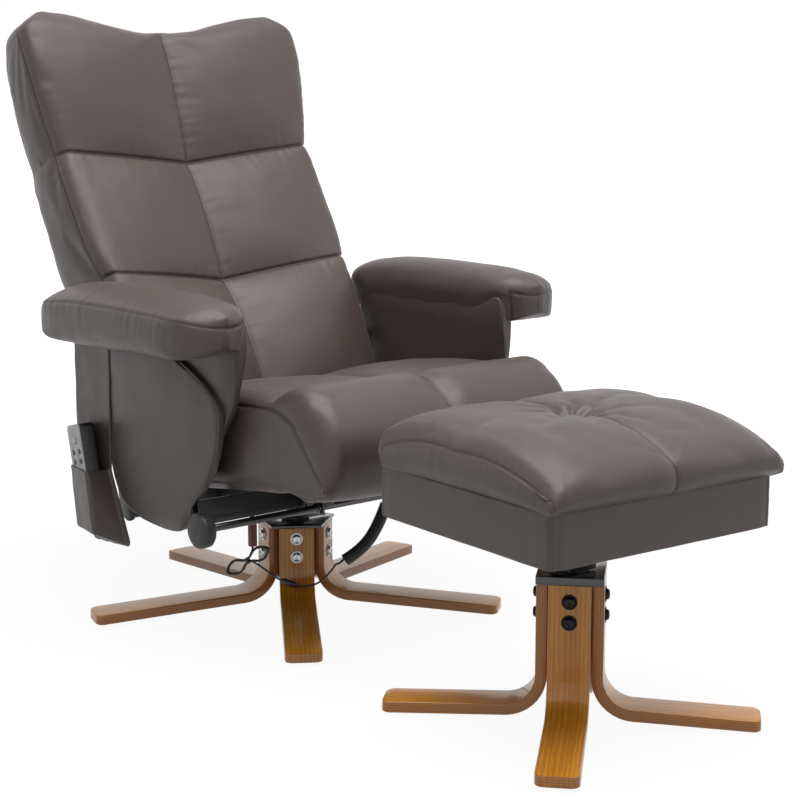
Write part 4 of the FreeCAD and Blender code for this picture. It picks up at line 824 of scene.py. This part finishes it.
def stitch_tree():
    """Sets one stitch after another along a line, turned along it."""
    tree, given = new_tree("stitches along a seam", ("Spacing", "Float"), ("Thread", "Object"))
    line = node(tree, "GeometryNodeMeshToCurve", {"Mesh": given["Geometry"]}).outputs[0]
    even = node(tree, "GeometryNodeResampleCurve", {"Curve": line, "Length": given["Spacing"]}, mode="LENGTH")
    held = node(tree, "GeometryNodeObjectInfo", {"Object": given["Thread"]}).outputs["Geometry"]
    way = node(tree, "GeometryNodeInputTangent").outputs[0]
    turned = node(tree, "FunctionNodeAlignRotationToVector", {"Vector": way}, axis="X").outputs[0]
    placed = node(tree, "GeometryNodeInstanceOnPoints",
                  {"Points": even.outputs[0], "Instance": held, "Rotation": turned}).outputs[0]
    return ended(tree, given, placed)


stitch_row = stitch_tree()
thread, nt, shader = blank("sewing_thread", Roughness=0.6)
twist = noisy(nt, node(nt, "TexCoord").outputs["Object"], 900.0, 2.0)
give(shader, {"Base Color": blend(nt, twist, ink("4a3f3c"), ink("8d7b76"))})
stitch_mesh = bpy.data.meshes.new("one_stitch")
rows = [(-0.0017, 0.0), (-0.0013, 0.0003), (0.0, 0.00045), (0.0013, 0.0003), (0.0017, 0.0)]
points = [(x, r * math.cos(a), r * math.sin(a)) for x, r in rows
          for a in np.linspace(0, 2 * math.pi, 5, endpoint=False)]
stitch_mesh.from_pydata(points, [], tube_faces(5, 5))
one_stitch = bpy.data.objects.new("one_stitch", worked(stitch_mesh, 0.00001))


def tipped(point):
    """From the underframe's own lengths, tipped nine degrees about its middle, to the room."""
    x, y, z = point
    c, s = math.cos(math.radians(9)), math.sin(math.radians(9))
    return in_room(x, y * c + z * s, 207 - y * s + z * c)


# The last colour is the painted shade along the seams.
hide = leather("taupe_leather", "463c39", "574c48", "171210")
seat_middle = ((16, 39), (-332, 39), (-368, 16), (-416, 16), ((-450, 84), (-410, 166)),
               ((-370, 188), (-322, 174)), ((-160, 190), (-8, 178)), ((11, 168), (16, 142)))
seat_side = ((10, 39), (-340, 32), (-392, 20), (-438, 26), ((-399, 84), (-370, 132)),
             ((-343, 150), (-312, 160)), ((-180, 168), (-10, 160)), ((6, 152), (10, 130)))
seat_counts = (46, 5, 5, 26, 15, 41, 8, 18)
seat_flat, seat_round = 226, 36
rounding = [seat_flat + seat_round * math.sin(a) for a in np.linspace(0, math.pi / 2, 11)[1:]]
middle_line, side_line = traced(seat_middle, seat_counts), traced(seat_side, seat_counts)
loops = []
for x in [-r for r in rounding[::-1]] + list(eased((-seat_flat, 0, seat_flat), 6.5)) + rounding:
    t = max(0, abs(x) - seat_flat) / seat_round
    to_side = 1 - math.sqrt(max(0, 1 - t * t))
    valley = math.exp(-(x / 20) ** 2)
    outline = middle_line * (1 - to_side) + side_line * to_side
    rolled = np.clip((outline[:, 1] - 40) / 120, 0, 1)[:, None]
    loops.append([tipped((x, y, z)) for y, z in outline + rolled * valley * np.array([5, -10])])
seat_skin = Skin(loops, 56, 26, 0.003)
last = seat_skin.cuts - 1
seams = [seat_skin.seam(last // 2, range(56, 98)), seat_skin.seam(last // 2, range(98, 138)),
         seat_skin.seam(0, range(44, 142)), seat_skin.seam(last, range(44, 142)), seat_skin.seam(place=97)]
front = range(56, 138)
stitched = [(seat_skin.seam(0, front), seat_skin.seam(2, front)),
            (seat_skin.seam(last, front), seat_skin.seam(last - 2, front))]
upholstered("seat_cover", seat_skin, seams, "seat", ["seat_cushion"], seed=3, stitched=stitched)

# Back: three rows of sewn panels on foam and a bent tube, one cover from the front round the sides to the
# rear. It leans back more in the lowest row, and the top rises into two soft ears.
back_line = ((71, 322), (211, 546), (318, 750), (398, 985))
# Each row's share of height, half width, crown, forward bend, degrees that the sides rise, and its depth
back_rows = (((0, 244, 3, 26, 0, 87), (0.12, 250, 8, 32, 0.5, 98), (0.5, 254, 12, 48, 1.5, 103),
              (0.86, 256, 9, 52, 2.2, 108), (1, 257, 2, 50, 2.5, 110)),
             ((0, 257, 2, 50, 2.5, 110), (0.14, 265, 8, 46, 2.8, 112), (0.5, 270, 11, 38, 3.5, 114),
              (0.86, 271, 8, 31, 4.2, 113), (1, 268, 2, 28, 4.4, 111)),
             ((0, 268, 2, 28, 4.4, 111), (0.14, 275, 8, 30, 4.8, 108), (0.45, 288, 12, 33, 5.8, 96),
              (0.76, 295, 10, 30, 7, 76), (0.91, 291, 6, 22, 7.6, 58), (1, 274, -1, 8, 7.8, 38)))
back_bulges = (20, 11, 10)
back_edge, back_turn, ear_from, ear_drop, ear_wave = 24, 26, 0.87, 20, 3.0
lean_of = [math.degrees(math.atan2(b[0] - a[0], b[1] - a[1])) for a, b in zip(back_line, back_line[1:])]
seam_lean = [lean_of[0], (lean_of[0] + lean_of[1]) / 2, (lean_of[1] + lean_of[2]) / 2, lean_of[2]]


def back_loop(row, share):
    """One cut through the back: front from side to side, side, rear, side."""
    a, b = back_line[row], back_line[row + 1]
    lean = math.radians(seam_lean[row] + (seam_lean[row + 1] - seam_lean[row]) * share)
    shares, *columns = zip(*back_rows[row])
    half, crown, forward, tip, far = (between(share, shares, column) for column in columns)
    bulge = back_bulges[row] * (4 * share * (1 - share)) ** 0.7
    cosine, sine = math.cos(math.radians(tip)), math.sin(math.radians(tip))
    flat = half - back_edge
    right = [(flat * t, forward * t + crown * 4 * t * (1 - t) + bulge * (1 - t ** 2))
             for t in np.linspace(0, 1, 37)]
    right += [(flat + back_edge * math.sin(a), forward - back_turn * (1 - math.cos(a)))
              for a in np.linspace(0, math.pi / 2, 9)[1:]]
    line = [(-x, n) for x, n in right[::-1]] + right[1:]
    low = (half - 5, -far + 15)
    side = [np.array(right[-1]) + (np.array(low) - np.array(right[-1])) * k / 20 for k in range(1, 21)]
    side += bow(low, (half - 9, -far + 5), (half - 19, -far), 4)
    line += [tuple(p) for p in side]
    line += [(x, -far - 3 * (1 - (x / half) ** 2)) for x in np.linspace(half - 19, -(half - 19), 89)[1:]]
    line += [(-p[0], p[1]) for p in side[::-1][1:]]
    y, z = a[0] + (b[0] - a[0]) * share, a[1] + (b[1] - a[1]) * share
    points = []
    for x, n in line:
        rise, u = abs(x) * sine, abs(x) / half
        if row == 2:
            rise -= ear_wave * math.sin(2 * math.pi * min(u, 0.94) / 0.94) * share ** 2
            rise -= ear_drop * max(0, (u - ear_from) / (1 - ear_from)) ** 2 * share ** 4
        points.append(in_room(x * cosine, y - n * math.cos(lean) + rise * math.sin(lean),
                              z + n * math.sin(lean) + rise * math.cos(lean)))
    return points


places = eased((0, 1), 0.026, 0.6)
loops = [back_loop(row, s) for row in range(3) for s in (places[1:] if row else places)]
row_cuts = [(len(places) - 1) * row for row in (1, 2)]
back_skin = Skin(loops, 88, 24, 0.006)
seams = [back_skin.seam(place=44)] + [back_skin.seam(k, range(89)) for k in row_cuts]
seams += [back_skin.seam(place=0), back_skin.seam(place=88)]
upholstered("back_cover_sewn", back_skin, seams, "back", ["back_cushion", "back_cover"], swell=3.0, seed=5,
            stitched=[(back_skin.seam(place=a), back_skin.seam(place=b)) for a, b in ((0, 2), (88, 86))])

# Arm pads: thick foam pads with a boxing band round them and a round nose in front, where the leather is
# gathered. The outer shields and inner panels below them are padded boards covered in the same leather.
arm_table = ((269, 486), (380, 486), ((387, 489), (390, 496)), (390, 551), ((340, 575), (282, 571)),
             ((268, 562), (262, 546)))
arm_counts = (18, 3, 9, 18, 3, 9)
arm_middle, arm_low, nose_from, nose_long, arm_half, rear_from, rear_round = 326, 486, 206, 63.5, 64, 158, 38
arm_cuts = np.concatenate([[196, 195, 193, 189.5, 184, 176, 167], -eased((-rear_from, nose_from), 6.5, 0.3),
                           -nose_from - nose_long * np.sin(np.linspace(0, math.pi / 2, 15)[1:])])
arm_crown = (-270, -252, -200, -110, 20, 110, 160, 185, 196), (-26, -14, -3, 2, 4, 0, -8, -19, -31)
arm_rise = (-270, -255, -230, -190, 140, 178, 190, 196), (17, 8, 3, 0, 0, 7, 14, 22)


def arm_loops(side):
    rows = []
    for y in arm_cuts:
        if y > -nose_from:
            near = rear_round - math.sqrt(max(0, rear_round ** 2 - max(0, y - rear_from) ** 2))
        else:
            near = arm_half - math.sqrt(max(9, arm_half ** 2 - (y + nose_from) ** 2))
        squeeze = 1 - near / arm_half
        crown, low = between(y, *arm_crown), between(y, *arm_rise)
        loop = []
        for x, z in traced(arm_table, arm_counts):
            up = min(1, max(0, (z - arm_low) / 88))
            loop.append(in_room(side * (arm_middle + (x - arm_middle) * squeeze), y - (z - arm_low) * 0.017,
                                z + crown * up + low * (1 - up) - (y + 40) * 0.017))
        rows.append(loop)
    return rows


def joined(a, b):
    """Two skins as one piece, and how far the second one's point numbers lie on."""
    both = Skin.__new__(Skin)
    both.points = np.vstack([a.points, b.points])
    both.faces = a.faces + [tuple(i + len(a.points) for i in f) for f in b.faces]
    return both, len(a.points)


pads = [Skin(arm_loops(side), 18, 12, 0.002) for side in (-1, 1)]
both_pads, shift = joined(*pads)
nose_cut = len(arm_cuts) - 9
seams, stitched = [], []
for k, pad in enumerate(pads):
    nose = pad.seam(nose_cut, range(51, 60))
    outer_line = pad.seam(place=30) + pad.seam(place=51)[:nose_cut:-1] + nose + pad.seam(nose_cut, [0])
    seams.append([i + k * shift for i in outer_line])
    beside_nose = pad.seam(nose_cut - 2, range(51, 60))
    for pair in ((pad.seam(place=30), pad.seam(place=33)), (nose, beside_nose)):
        stitched.append([[i + k * shift for i in line] for line in pair])
upholstered("arm_pad_covers", both_pads, seams, "chair_frame", ["arm_pads"], swell=2.0, cap=0.005, seed=8,
            crease=0.0018, width=0.0024, stitched=stitched)

shield_line = ((112, 512), (110, 420), (109, 330), (104, 272), (90, 236), (70, 212), (38, 198), (-22, 190),
               (-80, 189), (-108, 197), (-119, 216), (-146, 249), (-172, 276), (-193, 305), (-208, 340),
               (-214, 372), (-213, 398), (-203, 420), (-180, 440), (-138, 460), (-98, 476), (-50, 512))
inner_line = ((150, 536), (-238, 536), (-240, 476), (-236, 437), ((-232, 412), (-222, 396)), (-197, 361),
              (-174, 336), (-148, 290), (-94, 245), (-60, 204), (90, 204), (150, 300))


def flowing(points, steps=6):
    """A closed smooth line through points."""
    line = []
    for a, b, c, d in zip(*(np.roll(np.array(points, float), -j, axis=0) for j in (-1, 0, 1, 2))):
        for t in np.arange(steps) / steps:
            line.append(0.5 * (2 * b + (c - a) * t + (2 * a - 5 * b + 4 * c - d) * t ** 2
                               + (3 * b - a - 3 * c + d) * t ** 3))
    return [tuple(q) for q in line]


def resampled(line, count):
    """The same line with evenly spaced points."""
    run = np.concatenate([[0], np.cumsum(np.linalg.norm(np.diff(line, axis=0), axis=1))])
    at = np.linspace(0, run[-1], count + 1)
    return np.stack([np.interp(at, run, line[:, k]) for k in range(2)], axis=1)


def four_sided(table, corners, wide, high):
    """The outline again, with as many points on facing sides, from four of its own corners."""
    outline = [np.array(table[0], float)]
    for entry in table[1:]:
        outline += bow(outline[-1], *entry, 8) if isinstance(entry[0], tuple) else [np.array(entry, float)]
    outline = np.array(outline)
    at = [int(np.argmin(np.linalg.norm(outline - np.array(c), axis=1))) for c in corners]
    line = []
    for i, j, count in zip(at, at[1:] + at[:1], (wide, high, wide, high)):
        part = outline[i:j + 1] if j > i else np.vstack([outline[i:], outline[:j + 1]])
        line += list(resampled(part, count)[:-1])
    return np.array(line)


def slabs(table, corners, wide, high, x0, x1, edge, dome, lean_in=lambda x, z: 0):
    """Both sides' padded boards: an outline across X with rounded edges and slightly domed faces."""
    outline = four_sided(table, corners, wide, high)
    rows = [(x0 + edge * (1 - math.cos(a)) * 0.6, edge * (1 - math.sin(a)))
            for a in math.pi / 2 * np.linspace(0, 1, 5)]
    rows += [(x1 - edge * (1 - math.sin(a)), edge * (1 - math.cos(a)))
             for a in math.pi / 2 * np.linspace(0, 1, 7)]
    tangent = np.roll(outline, -1, axis=0) - np.roll(outline, 1, axis=0)
    normal = np.stack([tangent[:, 1], -tangent[:, 0]], axis=1)
    normal /= np.linalg.norm(normal, axis=1)[:, None] + 1e-9
    if ((outline - outline.mean(0)) * normal).sum() < 0:
        normal = -normal
    return [Skin([[in_room(side * (x - lean_in(x, z)), y, z) for y, z in outline - normal * inset]
                  for x, inset in rows], wide, high, dome, 400) for side in (-1, 1)]


def panels(name, skins, cut, solid, **settings):
    """Two padded boards as one piece, with a seam round each at a cut."""
    both, shift = joined(*skins)
    seams = [[i + k * shift for i in skin.seam(cut)] for k, skin in enumerate(skins)]
    upholstered(name, both, seams, "chair_frame", [solid], swell=2.0, cap=0.005, **settings)


shield_corners = ((70, 212), (-108, 197), (-98, 476), (112, 512))
shields = slabs(flowing(shield_line), shield_corners, 30, 50, 290, 306, 5, 0.004)
panels("shield_covers", shields, 9, "outer_arm_panels", seed=11, crease=0.0008, width=0.0025, pucker=0.0006,
       fill=0.6)
inner_corners = ((90, 204), (-94, 245), (-238, 536), (150, 536))
inner = slabs(inner_line, inner_corners, 26, 44, 274.5, 290, 4, 0.001,
              lambda x, z: 11 * min(1, max(0, (z - 430) / 60)) if x < 282 else 0)
panels("inner_panel_covers", inner, 4, "inner_arm_panels", seed=13, crease=0.0005, pucker=0.0008)

# Remote pocket: a strip of doubled leather hung from the arm pad, with a stitched pouch in which the remote
# control stands. The remote has a silver face, a black body, one bright button and four small keys.


def remeshed(name, voxel, new_name, seed, waves):
    """A copy of a solid with an even skin, a little uneven as sewn leather is."""
    mesh = worked(frame["nodes"][name].data.copy(), 0.00001, outward=False)
    made = settled(mesh, ("REMESH", {"mode": "VOXEL", "voxel_size": voxel}),
                   ("SMOOTH", {"iterations": 3, "factor": 0.5}))
    moved = np.array([tuple(v.co + v.normal * (waves * noise.noise(v.co * 38 + Vector((seed, 0, 0)))))
                      for v in made.vertices])
    made.vertices.foreach_set("co", moved.ravel())
    made.shade_smooth()
    cover = piece(new_name, made, rides_on[name], hide, name)


remeshed("remote_pocket", 0.0016, "pocket_leather", 17, 0.0008)
dressed("remote_body", moulded("remote_black", "1b1c1e", 0.32), 0.0005)
dressed("remote_face", moulded("remote_silver", "c4c8ca", 0.34, 0.1), 0.0003)
dressed("power_button", moulded("button_bright", "d8dadc", 0.3, 0.1), 0.0003)
for name in ("key_1", "key_2", "key_3", "key_4"):
    dressed(name, moulded("key_dark", "3a3d40", 0.35, 0.1), 0.0002)

# Footstool base: four taller boards of the same bent oak round a square hub, with black bolts and a black top
# plate, and the swivel post.
stool_turn, stool_centre = -49, (-0.0546, -0.489049, 0)
stool_oak = oak("oak_stool_legs", "f0a42c", "ae660c", "98530c", "502b06")
legs = ring_of(board(0.031, 0.269, 0.210), stool_oak, 4, stool_turn, stool_centre)
piece("footstool_legs", smooth(legs), "root", stool_oak, "stool_legs")
bolts(0.048, (0.157, 0.187), 4, stool_turn, stool_centre, bright_steel("black_zinc", "2c2c2e", 0.3),
      bright_steel("black_washer", "1d1d1f", 0.4), "stool")
dressed("stool_top_plate", gloss_black, 0.0012)
dressed("stool_hub", satin_black)
for name in ("stool_post", "stool_swivel_bracket"):
    dressed(name, satin_black, 0.0006)

# Footstool box: plywood walls covered in leather with a seam at each corner, open on top for storage.
turn = Matrix.Rotation(math.radians(-4), 3, "Z")
half_x, half_y, box_corner, box_wall, box_low, box_high = 202, 186, 12, 14, 291, 366
corner_places = (26, 60, 87, 0)


def on_stool(x, y, z):
    return turn @ (Vector((x, y, z)) / 1000) + Vector(stool_centre)


def box_ring(inset, z):
    """One ring round the box, this far inside its outer face, with rounded corners."""
    r = max(1.0, box_corner - inset)
    wide, deep = half_x - inset - r, half_y - inset - r
    corners = [(wide, -deep), (wide, deep), (-wide, deep), (-wide, -deep)]
    ring = []
    for k, (cx, cy) in enumerate(corners):
        ring += [(cx + r * math.cos(a), cy + r * math.sin(a))
                 for a in np.radians(np.linspace(-90, 0, 7) + 90 * k)]
        a, start, corner = math.radians(90 * k), ring[-1], corners[(k + 1) % 4]
        far = (corner[0] + r * math.cos(a), corner[1] + r * math.sin(a))
        ring += [(start[0] + (far[0] - start[0]) * t, start[1] + (far[1] - start[1]) * t)
                 for t in np.linspace(0, 1, 22)[1:-1]]
    return [on_stool(x, y, z) for x, y in ring]


profile = [(box_wall, box_low), (8, box_low), (2.2, box_low + 0.2), (0.7, box_low + 0.8), (0, box_low + 2.4)]
profile += [(0, z) for z in np.linspace(box_low + 6, box_high - 6, 11)]
profile += [(0, box_high - 2.4), (0.7, box_high - 0.8), (2.2, box_high - 0.2),
            (box_wall - 2.2, box_high - 0.2), (box_wall - 0.4, box_high - 1.2), (box_wall, box_high - 4)]
profile += [(box_wall, z) for z in np.linspace(box_high - 12, box_low + 8, 6)]
rings = [box_ring(inset, z) for inset, z in profile]
m = len(rings[0])
box_skin = Skin.__new__(Skin)
box_skin.points = np.array([tuple(q) for ring in rings for q in ring])
box_skin.faces = tube_faces(len(rings), m, True)
seams = [[k * m + i for k in range(2, 19)] for i in corner_places]
upholstered("box_leather", box_skin, seams, "stool_top", ["stool_box"], swell=0, seed=19, crease=0.0012,
            width=0.0022, pucker=0.0007, waves=0.0005, fill=0.9)
wear(bright_steel("hinge_steel", "8d8f92", 0.35), "box_hinge_leaves", "lid_hinge_leaves")

# Footstool lid: a thick crowned cushion with one seam over its middle and a button that draws in the leather
# in long creases. Its front edge rolls over like the seat's.
lid_half, lid_base = 211, 366.4
lid_table = ((194, 0, -1, 0), (-195, 0, 0, 0), ((-204, 18, 0.3, 0), (-190, 49, 0.3, 0.8)),
             ((-105, 81, 0, 1), (0, 86, 0, 1)), ((105, 83, 0, 1), (182, 62, -1, 0.8)),
             ((193, 42, -1, 0.5), (196, 12, -1, 0)))
lid_counts = (64, 9, 32, 32, 7, 2)
lid_shares, lid_drops, lid_pulls = (0, 0.08, 0.5, 0.85, 0.96, 1), (3, 0, 1, 8, 21, 35), (3, 0.5, 0, 2, 9, 24)
loops = []
for x in eased((-lid_half, -203, 0, 203, lid_half), 5.5):
    share = abs(x) / lid_half
    drop, pull = between(share, lid_shares, lid_drops), between(share, lid_shares, lid_pulls)
    outline = traced(lid_table, lid_counts, lambda y, z, p, d: (y + p * pull, lid_base + z - d * drop))
    loops.append([on_stool(x, y, z) for y, z in outline])
lid_skin = Skin(loops, 64, 9, 0.003)
last = lid_skin.cuts - 1
seams = [lid_skin.seam(lid_skin.cuts // 2, range(64, 140))]
seams += [lid_skin.seam(cut, range(66, 142)) for cut in (0, last)]
stitched = [[lid_skin.seam(cut, range(68, 140)) for cut in pair] for pair in ((0, 1), (last, last - 1))]
# Each fold's direction from the button in degrees, its reach and its depth
folds = ((12, 88, 5.4), (52, 66, 4.4), (95, 74, 4.6), (128, 104, 5.0), (165, 82, 5.2), (205, 94, 5.4),
         (240, 64, 4.2), (287, 100, 5.0), (325, 74, 4.8))
button_at = on_stool(0, 0, 452.4)


def tuft(p, n):
    """How far the button and its creases draw the leather in."""
    if n.z < 0.2:
        return 0.0
    d = p - button_at
    r = math.hypot(d.x, d.y) * 1000
    lift = -15.5 * math.exp(-(r / 27) ** 2) - 6.5 * math.exp(-(r / 66) ** 2)
    turn_at = math.degrees(math.atan2(d.y, d.x)) + 9 * noise.noise(Vector((r / 30, 0, 4)))
    for angle, reach, deep in folds:
        side = abs(r * math.radians((turn_at - angle + 180) % 360 - 180))
        ridge = math.exp(-(side / (3 + r * 0.09)) ** 2)
        lift -= deep * ridge * math.exp(-((r - 24) / reach) ** 2) * (1 - math.exp(-r / 8))
    return lift / 1000


upholstered("lid_cover", lid_skin, seams, "stool_lid", ["lid_cushion"], seed=21, shape=tuft, crease=0.0018,
            stitched=stitched)
remeshed("lid_button", 0.0008, "tuft_button", 23, 0.0002)

bpy.data.objects.remove(one_stitch)
size = [[list(map(float, corner)) for corner in box] for box in (cad_box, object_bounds())]
